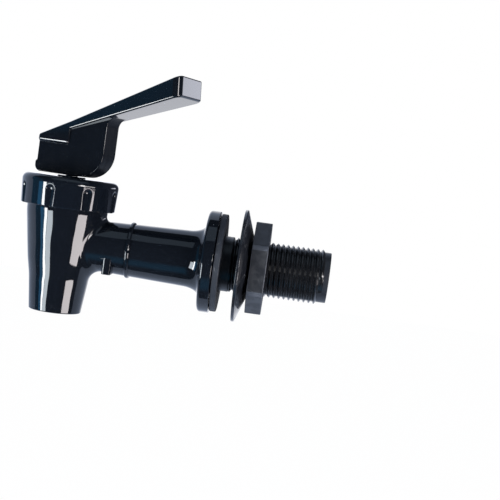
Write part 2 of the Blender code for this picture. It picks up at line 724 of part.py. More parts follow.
def make_stem():
    """Valve stem: a knob held by the cup, a shoulder under the spring seat and a flat eye."""
    bm = bmesh.new()
    rod_top = LEVER_BOTTOM + ROD_TOP_H
    knob_low = SHOULDER_Z - KNOB_NECK_H - KNOB_H
    profile = [
        (0.0, knob_low),
        (KNOB_R - KNOB_EDGE, knob_low),
        (KNOB_R, knob_low + KNOB_EDGE),
        (KNOB_R, knob_low + KNOB_H),
        (KNOB_NECK_R, knob_low + KNOB_H),
        (KNOB_NECK_R, SHOULDER_Z),
        (STEM_SHOULDER_R, SHOULDER_Z),
        (STEM_SHOULDER_R, SHOULDER_Z + STEM_SHOULDER_H),
        (STEM_R, SHOULDER_Z + STEM_SHOULDER_H),
        (STEM_R, rod_top + ROD_OVERLAP),
        (0.0, rod_top + ROD_OVERLAP),
    ]
    revolve(bm, profile, 28)
    pivot = (-SPOUT_REACH, 0.0, PIN_Z)
    colour = plastic("grey stem plastic", (0.35, 0.36, 0.37), 0.4)
    stem = to_object("stem", lever_space(bm), pivot, colour)
    eye = bmesh.new()
    outline = [(EYE_R, rod_top)] + arc(0.0, PIN_Z, EYE_R, 0.0, 180.0, 12) + [(-EYE_R, rod_top)]
    prism(eye, outline, EYE_T / 2)
    combine(stem, to_object("eye tool", lever_space(eye)), "UNION")
    hole = bmesh.new()
    profile = [(0.0, -EYE_T), (PIN_R + FIT, -EYE_T), (PIN_R + FIT, EYE_T), (0.0, EYE_T)]
    revolve(hole, profile, 20)
    hole.transform(Matrix.Translation((0.0, 0.0, PIN_Z)) @ Matrix.Rotation(-math.pi / 2, 4, "X"))
    combine(stem, to_object("eye hole tool", lever_space(hole)), "DIFFERENCE")
    return stem


def make_spring_seat():
    bm = bmesh.new()
    bore = STEM_R + STEM_HOLE_GAP
    top = SPRING_SEAT_Z + SPRING_SEAT_T
    lip = SPRING_MEAN_R - SPRING_WIRE_R - FIT
    profile = [
        (bore, SPRING_SEAT_Z),
        (SPRING_SEAT_R, SPRING_SEAT_Z),
        (SPRING_SEAT_R, top),
        (lip, top),
        (lip, top + SPRING_SEAT_LIP_H),
        (bore, top + SPRING_SEAT_LIP_H),
    ]
    revolve(bm, profile, 32, centre_x=-SPOUT_REACH, closed=True)
    origin = (-SPOUT_REACH, 0.0, SPRING_SEAT_Z)
    return to_object("spring_seat", bm, origin, plastic("white seat plastic", (0.8, 0.8, 0.78), 0.45))


def make_spring():
    """Coil spring: a round wire swept along a helix, with flat-lying end turns."""
    bm = bmesh.new()
    low = SPRING_SEAT_Z + SPRING_SEAT_T + FIT + SPRING_WIRE_R
    high = BONNET_CEILING - FIT - SPRING_WIRE_R
    per_turn = 16
    count = SPRING_TURNS * per_turn
    sides = 6
    rings = []
    for i in range(count + 1):
        turns = i / per_turn
        share = min(1.0, max(0.0, (turns - 0.75) / (SPRING_TURNS - 1.5)))
        share = share * share * (3.0 - 2.0 * share) * 0.3 + share * 0.7
        lie = SPRING_WIRE_R * 2.3
        start = lie * min(1.0, turns / 0.75)
        finish = lie * min(1.0, (SPRING_TURNS - turns) / 0.75)
        z = low + start + (high - low - 2.0 * lie) * share + (lie - finish)
        a = 2.0 * math.pi * turns
        ring = []
        for k in range(sides):
            b = 2.0 * math.pi * k / sides
            radius = SPRING_MEAN_R + SPRING_WIRE_R * math.cos(b)
            ring.append(
                bm.verts.new(
                    (
                        -SPOUT_REACH + radius * math.cos(a),
                        radius * math.sin(a),
                        z + SPRING_WIRE_R * math.sin(b),
                    )
                )
            )
        rings.append(ring)
    for ring, after in zip(rings, rings[1:]):
        for k in range(sides):
            m = (k + 1) % sides
            bm.faces.new((ring[k], after[k], after[m], ring[m]))
    bm.faces.new(rings[0])
    bm.faces.new(list(reversed(rings[-1])))
    steel = plastic("spring steel", (0.6, 0.6, 0.6), 0.25, 1.0)
    return to_object("spring", bm, (-SPOUT_REACH, 0.0, high), steel)


def make_cup():
    """Deep silicone cup: clamped rim, tapering wall and the plug that closes the seat."""
    bm = bmesh.new()
    rim_low = CHAMBER_TOP + FIT
    rim_top = rim_low + CUP_RIM_T
    low = SEAT_TOP + FIT
    pocket_low = SHOULDER_Z - KNOB_NECK_H - KNOB_H - FIT
    pocket_top = SHOULDER_Z - KNOB_NECK_H + FIT
    profile = [
        (0.0, low),
        (CUP_R_LOW - CUP_PLUG_EDGE, low),
        (CUP_R_LOW, low + CUP_PLUG_EDGE),
        (CUP_R_LOW, PLUG_TOP),
        (CUP_R_TOP, rim_low - CUP_SHOULDER),
        (CUP_R_TOP + CUP_SHOULDER, rim_low),
        (CUP_RIM_R, rim_low),
        (CUP_RIM_R, rim_top),
        (CUP_R_TOP - CUP_WALL, rim_top),
        (CUP_R_TOP - CUP_WALL, rim_low - CUP_SHOULDER),
        (CUP_R_LOW - CUP_WALL, PLUG_TOP),
        (KNOB_NECK_R + FIT, PLUG_TOP),
        (KNOB_NECK_R + FIT, pocket_top),
        (KNOB_R + FIT, pocket_top),
        (KNOB_R + FIT, pocket_low),
        (0.0, pocket_low),
    ]
    revolve(bm, profile, 40, centre_x=-SPOUT_REACH)
    origin = (-SPOUT_REACH, 0.0, rim_low)
    silicone = plastic("white silicone", (0.75, 0.75, 0.74), 0.5)
    return to_object("seat_cup", bm, origin, silicone)


def make_flat_washer():
    bm = bmesh.new()
    x0 = FIT
    x1 = x0 + FLAT_WASHER_T
    profile = [
        (FLAT_WASHER_BORE_R, x0),
        (FLAT_WASHER_R - FLAT_WASHER_EDGE, x0),
        (FLAT_WASHER_R, x0 + FLAT_WASHER_EDGE),
        (FLAT_WASHER_R, x1 - FLAT_WASHER_EDGE),
        (FLAT_WASHER_R - FLAT_WASHER_EDGE, x1),
        (FLAT_WASHER_BORE_R, x1),
    ]
    revolve(bm, profile, 56, axis="X", closed=True)
    rubber = plastic("matte black rubber", (0.02, 0.021, 0.023), 0.7)
    return to_object("flange_washer", bm, (x0, 0.0, 0.0), rubber)


def make_cone_washer():
    bm = bmesh.new()
    x0 = FIT + FLAT_WASHER_T + WALL_GAP
    edge = CONE_WASHER_EDGE
    profile = [
        (CONE_WASHER_BORE_R, x0),
        (CONE_WASHER_R - edge, x0),
        (CONE_WASHER_R, x0 + edge),
        (CONE_WASHER_R, x0 + CONE_WASHER_RIM_T - edge),
        (CONE_WASHER_R - edge, x0 + CONE_WASHER_RIM_T),
        (CONE_WASHER_BORE_R + 2 * edge, x0 + CONE_WASHER_T),
        (CONE_WASHER_BORE_R, x0 + CONE_WASHER_T - edge),
    ]
    revolve(bm, profile, 64, axis="X", closed=True)
    colour = plastic("black glossy cone washer", (0.012, 0.013, 0.017), 0.15)
    return to_object("nut_washer", bm, (x0, 0.0, 0.0), colour)


def make_nut():
    """Hex lock nut with rounded corners and a wide countersink on both faces."""
    bm = bmesh.new()
    x0 = 2 * FIT + FLAT_WASHER_T + WALL_GAP + CONE_WASHER_T
    x1 = x0 + NUT_T
    spread = math.acos(0.5 * NUT_FLATS / NUT_CORNER_R)  # half of the angle that a flat takes
    corners = []
    for k in range(6):
        flat_end = math.radians(60.0 * k) + spread
        next_flat = math.radians(60.0 * (k + 1)) - spread
        for i in range(NUT_CORNER_STEPS + 1):
            a = flat_end + (next_flat - flat_end) * i / NUT_CORNER_STEPS
            corners.append((NUT_CORNER_R * math.cos(a), NUT_CORNER_R * math.sin(a)))
    low = [bm.verts.new((x0, a, b)) for a, b in corners]
    high = [bm.verts.new((x1, a, b)) for a, b in corners]
    bm.faces.new(low)
    bm.faces.new(list(reversed(high)))
    count = len(corners)
    for i in range(count):
        j = (i + 1) % count
        bm.faces.new((low[i], high[i], high[j], low[j]))
    colour = plastic("black moulded nut", (0.018, 0.02, 0.024), 0.35)
    nut = to_object("lock_nut", bm, (x0, 0.0, 0.0), colour)
    tool = bmesh.new()
    bore = SHANK_R + FIT
    profile = [
        (0.0, x0 - PAST),
        (NUT_SINK_R, x0 - PAST),
        (NUT_SINK_R, x0),
        (bore, x0 + NUT_SINK_DEPTH),
        (bore, x1 - NUT_SINK_DEPTH),
        (NUT_SINK_R, x1),
        (NUT_SINK_R, x1 + PAST),
        (0.0, x1 + PAST),
    ]
    revolve(tool, profile, 48, axis="X")
    combine(nut, to_object("nut bore tool", tool), "DIFFERENCE")
    return nut


def main():
    clear_scene()
    make_body()
    make_bonnet()
    make_lever()
    make_pin()
    make_stem()
    make_spring_seat()
    make_spring()
    make_cup()
    make_flat_washer()
    make_cone_washer()
    make_nut()


main()
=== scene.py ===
"""Looks of a black beverage dispenser spigot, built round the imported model's bodies.

Lengths are in metres, in the model's own frame: +Z up with the spout pointing down, +X along
the shank from the spout to the nut, and the origin on the shank's axis at the flange's rear face.
"""

import math

import bmesh
import bpy
from mathutils import Matrix, Vector


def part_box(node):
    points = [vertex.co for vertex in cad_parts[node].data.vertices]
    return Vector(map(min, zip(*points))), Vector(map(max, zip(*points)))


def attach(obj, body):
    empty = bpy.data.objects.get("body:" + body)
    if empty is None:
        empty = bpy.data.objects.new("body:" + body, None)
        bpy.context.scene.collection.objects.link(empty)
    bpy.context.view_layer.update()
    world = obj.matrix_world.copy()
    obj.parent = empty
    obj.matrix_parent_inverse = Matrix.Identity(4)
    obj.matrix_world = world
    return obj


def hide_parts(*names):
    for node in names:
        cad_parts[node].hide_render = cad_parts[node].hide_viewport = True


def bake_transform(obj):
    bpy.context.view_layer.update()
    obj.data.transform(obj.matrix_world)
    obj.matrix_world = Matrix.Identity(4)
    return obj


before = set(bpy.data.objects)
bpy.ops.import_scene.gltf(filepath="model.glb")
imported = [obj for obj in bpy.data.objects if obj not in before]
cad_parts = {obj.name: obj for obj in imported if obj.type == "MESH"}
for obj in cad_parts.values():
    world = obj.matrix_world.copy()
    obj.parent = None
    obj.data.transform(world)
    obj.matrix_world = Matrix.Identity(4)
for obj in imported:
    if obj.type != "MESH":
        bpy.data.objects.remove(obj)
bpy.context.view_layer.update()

bl_info = {
    "name": "Dispenser spigot",
    "version": (1, 0, 0),
    "blender": (4, 5, 0),
    "location": "View3D > Sidebar > Spigot",
    "description": "Builds a glossy black drink dispenser spigot with its washers and lock nut",
    "category": "Add Mesh",
}

MM = 0.001
SHARP_ANGLE = math.radians(32.0)
WALL_STEPS = 200  # columns round the spout
BONNET_STEPS = 640  # columns round the bonnet, enough to hold its flutes
NECK_OPENING_STEPS = 39  # columns of the neck's opening on each side of the middle
OPENING_LOW, OPENING_HIGH = -17.4 * MM, 13.8 * MM  # heights between which the wall is opened
OPENING_ROWS = 52
NECK_START = 18.6 * MM  # from the spout's axis to the plain neck's first ring
RUN_OUT = 0.35  # turns over which the thread's ridge rises or falls
NEAR = 1e-7  # points closer than this are one
LEVEL = 0.01 * MM  # places closer than this count as level
OVERCUT = 1.0 * MM  # how far a cutting tool reaches past the piece
PLUG_HEIGHT = 3.4 * MM  # thick lower part of the silicone cup
FLARE_RISE = 3.3 * MM  # how much the flare widens the neck
FLANGE_SLOPE = 0.7 * MM  # how much thicker the flange is by the flare than at its edge
LIP_ROUND = 0.9 * MM  # width of the mouth's rounded lip
STEEP = math.radians(60.0)  # edges turned more than this are a moulding's corners
FINE_GRAIN = 1900.0  # scale of the finest noise
MARK_COLOUR = (0.42, 0.44, 0.47)  # dust and scratches
CAMERA_AIM = Vector((13.04 * MM, 0.0, 6.81 * MM))
# Lamps: name, azimuth from -Y toward +X and elevation in degrees, distance, width, height,
# radiance and colour. They all face LAMP_AIM.
LAMP_AIM = Vector((-0.045, 0.0, 0.0))
LAMPS = (
    ("window", -52.1, -17.5, 0.80, 0.112, 0.42, 27.0, (0.94, 0.98, 1.0)),
    ("curtain", -38.5, -19.0, 0.80, 0.22, 0.38, 12.5, (0.84, 0.93, 1.0)),
    ("sky edge", -63.0, -17.5, 0.80, 0.16, 0.42, 2.0, (0.08, 0.45, 0.95)),
    ("softbox", 56.0, -15.5, 0.85, 0.44, 0.27, 13.0, (1.0, 0.94, 0.95)),
    ("high softbox", 48.0, 5.2, 0.85, 0.66, 0.08, 12.0, (1.0, 0.96, 0.96)),
    ("corner strip", 38.0, 11.0, 0.85, 0.16, 0.26, 16.0, (1.0, 0.97, 0.97)),
    ("ceiling", 0.0, 68.0, 0.80, 0.90, 0.55, 0.55, (0.62, 0.80, 1.0)),
)


def size(name, description, millimetres):
    """A length that a user may change."""
    return bpy.props.FloatProperty(
        name=name,
        description=description,
        default=millimetres * MM,
        min=0.0,
        precision=5,
        unit="LENGTH",
    )


def colour(name, description, rgb):
    """A colour that a user may change."""
    return bpy.props.FloatVectorProperty(
        name=name, description=description, default=rgb, size=3, min=0.0, max=1.0, subtype="COLOR"
    )


def share(name, description, value):
    """A roughness or other share from 0 to 1."""
    return bpy.props.FloatProperty(
        name=name, description=description, default=value, min=0.0, max=1.0, subtype="FACTOR"
    )


def rotation(name, description, degrees):
    """An angle that a user may change."""
    return bpy.props.FloatProperty(
        name=name, description=description, default=math.radians(degrees), subtype="ANGLE"
    )


class SPIGOT_PG_spout(bpy.types.PropertyGroup):
    """Spout and valve chamber, with heights from the shank's axis."""

    reach: size("Reach", "From the flange's rear face to the spout's axis", 61.7)
    drop: size("Drop", "From the shank's axis down to the mouth", 28.2)
    mouth_radius: size("Mouth radius", "Outside radius at the mouth", 10.4)
    knee_drop: size("Knee drop", "From the shank's axis down to the steeper taper", 8.0)
    knee_radius: size("Knee radius", "Outside radius where the steeper taper starts", 13.3)
    waist_drop: size("Waist drop", "From the shank's axis down to the slimmer taper", 14.5)
    waist_radius: size("Waist radius", "Outside radius where the slimmer taper starts", 12.0)
    chamber_radius: size("Chamber radius", "Outside radius under the bonnet", 16.1)
    straight_from: size("Straight from", "Height where the taper ends", 11.5)
    top: size("Top", "Height of the chamber's open top", 21.0)
    wall: size("Wall", "Wall of the chamber's straight part", 2.9)
    lip_wall: size("Lip wall", "Wall of the spout", 1.7)
    floor_drop: size("Floor", "Depth of the chamber's floor below the shank's axis", 9.5)
    outlet_radius: size("Outlet radius", "Radius of the outlet in the valve's seat", 5.0)


class SPIGOT_PG_neck(bpy.types.PropertyGroup):
    """Neck, flange and shank."""

    spout_end: size("Neck radius at the spout", "Radius of the neck by the spout", 10.15)
    flange_end: size("Neck radius at the flange", "Radius of the neck by the flange", 11.3)
    blend_low: size("Lower blend", "Fillet radius under the neck", 5.0)
    blend_top: size("Upper blend", "Fillet radius over the neck", 2.0)
    bead_from_axis: size("Bead place", "From the spout's axis to the bead", 27.3)
    bead_width: size("Bead width", "Width of the bead", 1.8)
    bead_proud: size("Bead height", "How far the bead stands proud", 0.8)
    lug_from_axis: size("Lug place", "From the spout's axis to the middle of the lug", 19.9)
    lug_width: size("Lug width", "Width of the lug along the neck", 3.7)
    lug_reach: size("Lug reach", "From the neck's middle to the lug's upright near face", 9.5)
    lug_proud: size("Lug height", "How far the lug stands below the neck", 0.05)
    lug_edge: size("Lug rounding", "Rounding of the lug's upright edges", 1.0)
    flange_radius: size("Flange radius", "Radius of the flange", 20.4)
    flange_thick: size("Flange thickness", "Thickness of the flange at its edge", 4.6)
    flare_length: size("Flare length", "Length of the trumpet flare", 7.4)
    shank_radius: size("Shank radius", "Radius over the thread's crests", 11.0)
    root_radius: size("Root radius", "Radius at the thread's root", 10.05)
    pitch: size("Pitch", "Distance from crest to crest", 2.0)
    plain: size("Plain length", "Plain part between the flange and the thread", 6.4)
    threaded: size("Threaded length", "Length of the thread", 36.1)
    pilot: size("Pilot length", "Plain end of the shank", 3.0)
    inlet_radius: size("Inlet radius", "Radius of the bore through the shank", 7.5)


class SPIGOT_PG_bonnet(bpy.types.PropertyGroup):
    """Screw-on bonnet with its flutes."""

    rim_radius: size("Rim radius", "Outside radius at the lower rim", 18.7)
    top_radius: size("Top radius", "Outside radius under the shoulder", 19.4)
    bore_radius: size("Bore radius", "Radius of the bonnet's inside", 16.4)
    rim_height: size("Rim height", "Height of the lower rim over the shank's axis", 13.7)
    top_height: size("Top height", "Height of the flat top over the shank's axis", 25.8)
    top_thick: size("Top thickness", "Thickness of the top", 2.8)
    shoulder: size("Shoulder radius", "Rounding of the top edge", 2.6)
    boss_radius: size("Boss radius", "Radius of the raised ring round the stem", 5.3)
    stem_hole: size("Stem hole", "Radius of the hole for the stem", 2.75)
    flute_radius: size("Flute radius", "Radius of each flute", 2.3)
    flute_depth: size("Flute depth", "Depth of each flute", 1.3)
    flute_top: size("Flute top", "Height where each flute ends", 22.7)
    flute_first: rotation("First flute", "Angle of the first flute from +X", 32.0)
    flutes: bpy.props.IntProperty(
        name="Flutes", description="How many flutes the bonnet has", default=8, min=3, max=24
    )


class SPIGOT_PG_lever(bpy.types.PropertyGroup):
    """Lever, measured from the stem's axis and from its own flat bottom."""

    swivel: rotation("Swivel", "Turn of the lever about the stem", -20.0)
    bottom: size("Bottom height", "Height of the lever's flat bottom", 26.5)
    rear: size("Rear length", "From the stem's axis to the rear end", 14.0)
    front: size("Front length", "From the stem's axis to the block's front", 15.7)
    block_width: size("Block width", "Width of the cam block", 9.8)
    cam_radius: size("Cam radius", "Radius of the corner that rolls on the bonnet", 10.0)
    throat_radius: size("Throat radius", "Radius between the block and the paddle", 4.5)
    skirt_width: size("Skirt width", "Width of the paddle's rear", 12.0)
    skirt_low: size("Skirt height", "Height of the skirt's lower edge over the bottom", 11.9)
    skirt_front: size("Skirt front", "How far behind the stem's axis the skirt ends", 0.3)
    tip: size("Tip length", "From the stem's axis to the paddle's tip", 47.2)
    tip_draft: size("Tip draft", "How much further the tip's lower edge reaches", 0.7)
    tip_width: size("Tip width", "Width of the paddle's tip", 21.98)
    tip_corner: size("Tip corner", "Length that each rounded corner of the tip takes", 3.1)
    top_height: size("Top height", "Height of the top face at the stem's axis", 21.4)
    under_height: size("Underside height", "Height of the underside at the stem's axis", 18.2)
    top_slope: share("Top slope", "Rise of the top face along the lever", 0.472)
    under_slope: share("Underside slope", "Rise of the underside along the lever", 0.36)
    pin_height: size("Pin height", "Height of the hinge pin over the lever's bottom", 6.1)
    edge: size("Edge rounding", "Rounding of the lever's edges", 0.75)
    skirt_edge: size("Skirt rounding", "Rounding of the skirt's lower edges", 1.3)


class SPIGOT_PG_clamp(bpy.types.PropertyGroup):
    """Washers and lock nut on the shank."""

    play: size("Play", "Air between pieces that touch", 0.3)
    wall_gap: size("Wall room", "Room left for the dispenser's wall", 6.5)
    flat_radius: size("Flat washer radius", "Outside radius of the rubber washer", 19.6)
    flat_bore: size("Flat washer bore", "Radius of the rubber washer's hole", 12.2)
    flat_thick: size("Flat washer thickness", "Thickness of the rubber washer", 2.5)
    cone_radius: size("Cone washer radius", "Outside radius of the cone washer", 22.5)
    cone_bore: size("Cone washer bore", "Radius of the cone washer's hole", 12.35)
    cone_thick: size("Cone washer thickness", "Thickness at the hole", 4.6)
    cone_rim: size("Cone washer rim", "Thickness at the rim", 1.2)
    nut_flats: size("Nut across flats", "Width of the nut over two flats", 32.8)
    nut_thick: size("Nut thickness", "Thickness of the nut", 6.5)
    nut_bore: size("Nut bore", "Radius of the nut's hole", 11.3)
    sink_radius: size("Countersink radius", "Radius of the nut's countersink", 13.8)
    sink_depth: size("Countersink depth", "Depth of the nut's countersink", 1.3)


class SPIGOT_PG_finish(bpy.types.PropertyGroup):
    """Colours and gloss."""

    body: colour("Body", "Moulded body's plastic", (0.0042, 0.0056, 0.0085))
    bonnet: colour("Bonnet", "Bonnet's plastic", (0.0042, 0.0060, 0.0095))
    lever: colour("Lever", "Lever's plastic", (0.0038, 0.0052, 0.0080))
    thread: colour("Thread", "Glossy plastic of the thread", (0.0060, 0.0066, 0.0080))
    nut: colour("Nut", "Satin plastic of the nut and the plain shank", (0.0120, 0.0140, 0.0185))
    cone: colour("Cone washer", "Glossy plastic of the cone washer", (0.0085, 0.0100, 0.0135))
    rubber: colour("Rubber", "Rubber of the flat washer", (0.0180, 0.0220, 0.0300))
    silicone: colour("Silicone", "Silicone of the seat cup", (0.70, 0.70, 0.68))
    gloss: share("Gloss roughness", "Roughness of the glossy plastic", 0.035)


class SPIGOT_PG_stage(bpy.types.PropertyGroup):
    """Camera, floor and lights."""

    lens: bpy.props.FloatProperty(
        name="Lens", description="Focal length of the camera", default=86.5, unit="CAMERA"
    )
    distance: size("Distance", "From the camera to the point that it looks at", 479.8)
    azimuth: rotation("Azimuth", "Turn of the camera round the object", 1.70)
    elevation: rotation("Elevation", "Height of the camera over the horizon", 3.446)
    roll: rotation("Roll", "Turn of the camera about its own axis", 7.911)
    floor_drop: size("Floor drop", "How far the floor lies below the shank's axis", 420.0)
    dim: share("Room", "Brightness of the room in front of the spigot", 0.035)
    light: bpy.props.FloatProperty(
        name="Light", description="Factor on the power of every lamp", default=1.0, min=0.0
    )


# Shapes


def rounded(corners, closed=False, steps=8):
    """Points of a line through (a, b, radius) corners, with an arc of that radius at each."""
    count = len(corners)
    points = []
    for i, (a, b, radius) in enumerate(corners):
        if radius <= 0.0 or (not closed and i in (0, count - 1)):
            points.append((a, b))
            continue
        here = Vector((a, b))
        before = (Vector(corners[i - 1][:2]) - here).normalized()
        after = (Vector(corners[(i + 1) % count][:2]) - here).normalized()
        half = before.angle(after) / 2.0
        middle = here + (before + after).normalized() * (radius / math.sin(half))
        start = here + before * (radius / math.tan(half)) - middle
        end = here + after * (radius / math.tan(half)) - middle
        turn = start.angle_signed(end)
        for k in range(steps + 1):
            spoke = start.copy()
            spoke.rotate(Matrix.Rotation(-turn * k / steps, 2))
            points.append(tuple(middle + spoke))
    return points


def wire(bm, points, closed=False):
    """Draws a line through the points and gives its vertices and edges."""
    verts = [bm.verts.new(p) for p in points]
    edges = [bm.edges.new(pair) for pair in zip(verts, verts[1:])]
    if closed:
        edges.append(bm.edges.new((verts[-1], verts[0])))
    return verts, edges


def turned(points, axis, steps, offset=0.0, closed=True):
    """A bmesh of (radius, along) points turned about Z at x = offset, or about the X axis."""
    bm = bmesh.new()
    if axis == "Z":
        spots = [(offset + r, 0.0, z) for r, z in points]
        centre, direction = (offset, 0.0, 0.0), (0.0, 0.0, 1.0)
    else:
        spots = [(x + offset, 0.0, r) for r, x in points]
        centre, direction = (0.0, 0.0, 0.0), (1.0, 0.0, 0.0)
    verts, edges = wire(bm, spots, closed)
    bmesh.ops.spin(
        bm,
        geom=verts + edges,
        cent=centre,
        axis=direction,
        angle=2.0 * math.pi,
        steps=steps,
        use_merge=True,
    )
    bmesh.ops.remove_doubles(bm, verts=bm.verts, dist=NEAR)
    return bm


def sweep(bm, faces, direction, rise, steps, count):
    """Sweeps the faces along a helix; a full turn takes the steps and climbs by the rise."""
    bmesh.ops.spin(
        bm,
        geom=faces,
        cent=(0.0, 0.0, 0.0),
        axis=direction,
        dvec=Vector(direction) * (rise / steps),
        angle=2.0 * math.pi * count / steps,
        steps=count,
    )
    bmesh.ops.remove_doubles(bm, verts=bm.verts, dist=NEAR)


def new_verts(result):
    """The vertices that an extrusion made."""
    return [g for g in result["geom"] if isinstance(g, bmesh.types.BMVert)]


def slab(outline, half_width):
    """A bmesh of an (x, z) outline, extruded to both sides of the plane y = 0."""
    bm = bmesh.new()
    edges = wire(bm, [(u, -half_width, z) for u, z in outline], closed=True)[1]
    near = bmesh.ops.contextual_create(bm, geom=edges)["faces"]
    grown = bmesh.ops.extrude_face_region(bm, geom=near, use_keep_orig=True)
    bmesh.ops.translate(bm, verts=new_verts(grown), vec=(0.0, 2.0 * half_width, 0.0))
    bmesh.ops.recalc_face_normals(bm, faces=bm.faces)
    return bm


def sharp_edges(bm, angle=STEEP):
    """The edges where two faces meet at more than the angle."""
    return [e for e in bm.edges if e.is_manifold and e.calc_face_angle(0.0) > angle]


def span(edge, axis):
    """How far an edge reaches along x, y or z, as axis 0, 1 or 2."""
    return abs(edge.verts[0].co[axis] - edge.verts[1].co[axis])


def round_edges(bm, edges, radius, segments=3):
    """Rounds the edges of the bmesh."""
    bmesh.ops.bevel(
        bm,
        geom=edges,
        offset=radius,
        offset_type="OFFSET",
        segments=segments,
        profile=0.5,
        affect="EDGES",
        clamp_overlap=True,
        material=-1,
    )


def link(name, data):
    """Adds an object with this data to the scene."""
    obj = bpy.data.objects.new(name, data)
    bpy.context.scene.collection.objects.link(obj)
    return obj


def new_object(name, bm):
    """An object at the origin that holds the bmesh, with its faces pointing outwards."""
    bmesh.ops.recalc_face_normals(bm, faces=bm.faces)
    if bm.calc_volume(signed=True) < 0.0:
        bmesh.ops.reverse_faces(bm, faces=bm.faces)
    mesh = bpy.data.meshes.new(name)
    bm.to_mesh(mesh)
    bm.free()
    return link(name, mesh)


def carve(obj, bm, operation="DIFFERENCE"):
    """Cuts the bmesh out of the object, or joins it on, and keeps the result as plain mesh."""
    tool = new_object(obj.name + "_tool", bm)
    modifier = obj.modifiers.new(operation, "BOOLEAN")
    modifier.operation = operation
    modifier.solver = "EXACT"
    modifier.object = tool
    graph = bpy.context.evaluated_depsgraph_get()
    result = bpy.data.meshes.new_from_object(obj.evaluated_get(graph))
    obj.modifiers.clear()
    old = obj.data
    obj.data = result
    bpy.data.meshes.remove(old)
    tool_mesh = tool.data
    bpy.data.objects.remove(tool)
    bpy.data.meshes.remove(tool_mesh)
    if len(obj.data.polygons) < 12:
        raise RuntimeError(f"{obj.name}: the {operation.lower()} left nothing")


def shade(obj, angle=SHARP_ANGLE):
    """Smooth shading with a sharp line wherever two faces meet at more than the angle.

    It also takes out the slivers that a cut leaves, and gives the object back.
    """
    bm = bmesh.new()
    bm.from_mesh(obj.data)
    bmesh.ops.dissolve_degenerate(bm, dist=2.0 * NEAR, edges=bm.edges)
    for face in bm.faces:
        face.smooth = True
    for edge in bm.edges:
        edge.smooth = not (edge.is_manifold and edge.calc_face_angle(0.0) > angle)
    bm.to_mesh(obj.data)
    bm.free()
    weighted = obj.modifiers.new("flat faces stay flat", "WEIGHTED_NORMAL")
    weighted.keep_sharp = True
    weighted.weight = 90
    return obj


def dress(obj, body, slot, material, *nodes, stretch=None):
    """Gives a finished piece its material, its body and the CAD nodes that it stands for.

    With stretch, (fixed height, moving height), it stays out of every body, with its place baked
    into its mesh; the two heights are not used.
    """
    obj.data.materials.clear()
    obj.data.materials.append(material)
    if stretch is None:
        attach(obj, body)
    else:
        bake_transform(obj)
    if nodes:
        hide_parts(*nodes)


# Node groups and materials


def group_sockets(group, inputs, outputs):
    """Gives a node group its sockets, and returns the nodes that they lead to."""
    for name, kind, value in inputs:
        socket = group.interface.new_socket(name, in_out="INPUT", socket_type=kind)
        if value is not None:
            socket.default_value = value
    for name, kind in outputs:
        group.interface.new_socket(name, in_out="OUTPUT", socket_type=kind)
    return group.nodes.new("NodeGroupInput"), group.nodes.new("NodeGroupOutput")


def math_node(tree, operation, a, b=None, clamp=False):
    """Result of a Math node whose inputs are sockets or numbers."""
    node = tree.nodes.new("ShaderNodeMath")
    node.operation = operation
    node.use_clamp = clamp
    for socket, value in zip(node.inputs, (a, b)):
        if value is None:
            continue
        if isinstance(value, bpy.types.NodeSocket):
            tree.links.new(value, socket)
        else:
            socket.default_value = value
    return node.outputs[0]


def noise(tree, vector, scale, detail=2.0, roughness=0.5):
    """Soft noise from 0 to 1; the scale counts its waves over a metre."""
    node = tree.nodes.new("ShaderNodeTexNoise")
    tree.links.new(vector, node.inputs["Vector"])
    node.inputs["Scale"].default_value = scale
    node.inputs["Detail"].default_value = detail
    node.inputs["Roughness"].default_value = roughness
    return node.outputs["Fac"]


def ramp(tree, value, low, high):
    """0 where the value is past low, 1 where it is past high, and smooth between."""
    node = tree.nodes.new("ShaderNodeMapRange")
    node.interpolation_type = "SMOOTHSTEP"
    tree.links.new(value, node.inputs["Value"])
    node.inputs["From Min"].default_value = low
    node.inputs["From Max"].default_value = high
    return node.outputs["Result"]


def mix_colours(tree, factor, a, b):
    """Colour a where the factor is 0 and b where it is 1; each is a colour or a socket."""
    node = tree.nodes.new("ShaderNodeMix")
    node.data_type = "RGBA"
    tree.links.new(factor, node.inputs["Factor"])
    for name, value in (("A", a), ("B", b)):
        if isinstance(value, bpy.types.NodeSocket):
            tree.links.new(value, node.inputs[name])
        else:
            node.inputs[name].default_value = (*value, 1.0)
    return node.outputs["Result"]


def moulded_skin_group():
    """Slow sink marks and a very fine grain, as on a polished moulding."""
    group = bpy.data.node_groups.new("moulded skin", "ShaderNodeTree")
    entry, leave = group_sockets(
        group,
        [
            ("Vector", "NodeSocketVector", None),
            ("Waviness", "NodeSocketFloat", 0.1),
            ("Grain", "NodeSocketFloat", 0.001),
        ],
        [("Height", "NodeSocketFloat"), ("Cloud", "NodeSocketFloat")],
    )
    vector = entry.outputs["Vector"]
    slow = noise(group, vector, 85.0, 1.0)
    fine = noise(group, vector, FINE_GRAIN, 3.0)
    wave = math_node(group, "MULTIPLY", slow, entry.outputs["Waviness"])
    grain = math_node(group, "MULTIPLY", fine, entry.outputs["Grain"])
    height = math_node(group, "ADD", wave, grain)
    group.links.new(height, leave.inputs["Height"])
    cloud = ramp(group, noise(group, vector, 240.0, 4.0, 0.62), 0.38, 0.66)
    group.links.new(cloud, leave.inputs["Cloud"])


def mask_group(name, draw):
    """A node group that gives what draw(group, vector) draws, scaled by its Amount."""
    group = bpy.data.node_groups.new(name, "ShaderNodeTree")
    entry, leave = group_sockets(
        group,
        [("Vector", "NodeSocketVector", None), ("Amount", "NodeSocketFloat", 0.5)],
        [("Mask", "NodeSocketFloat")],
    )
    mask = draw(group, entry.outputs["Vector"])
    scaled = math_node(group, "MULTIPLY", mask, entry.outputs["Amount"], clamp=True)
    group.links.new(scaled, leave.inputs["Mask"])


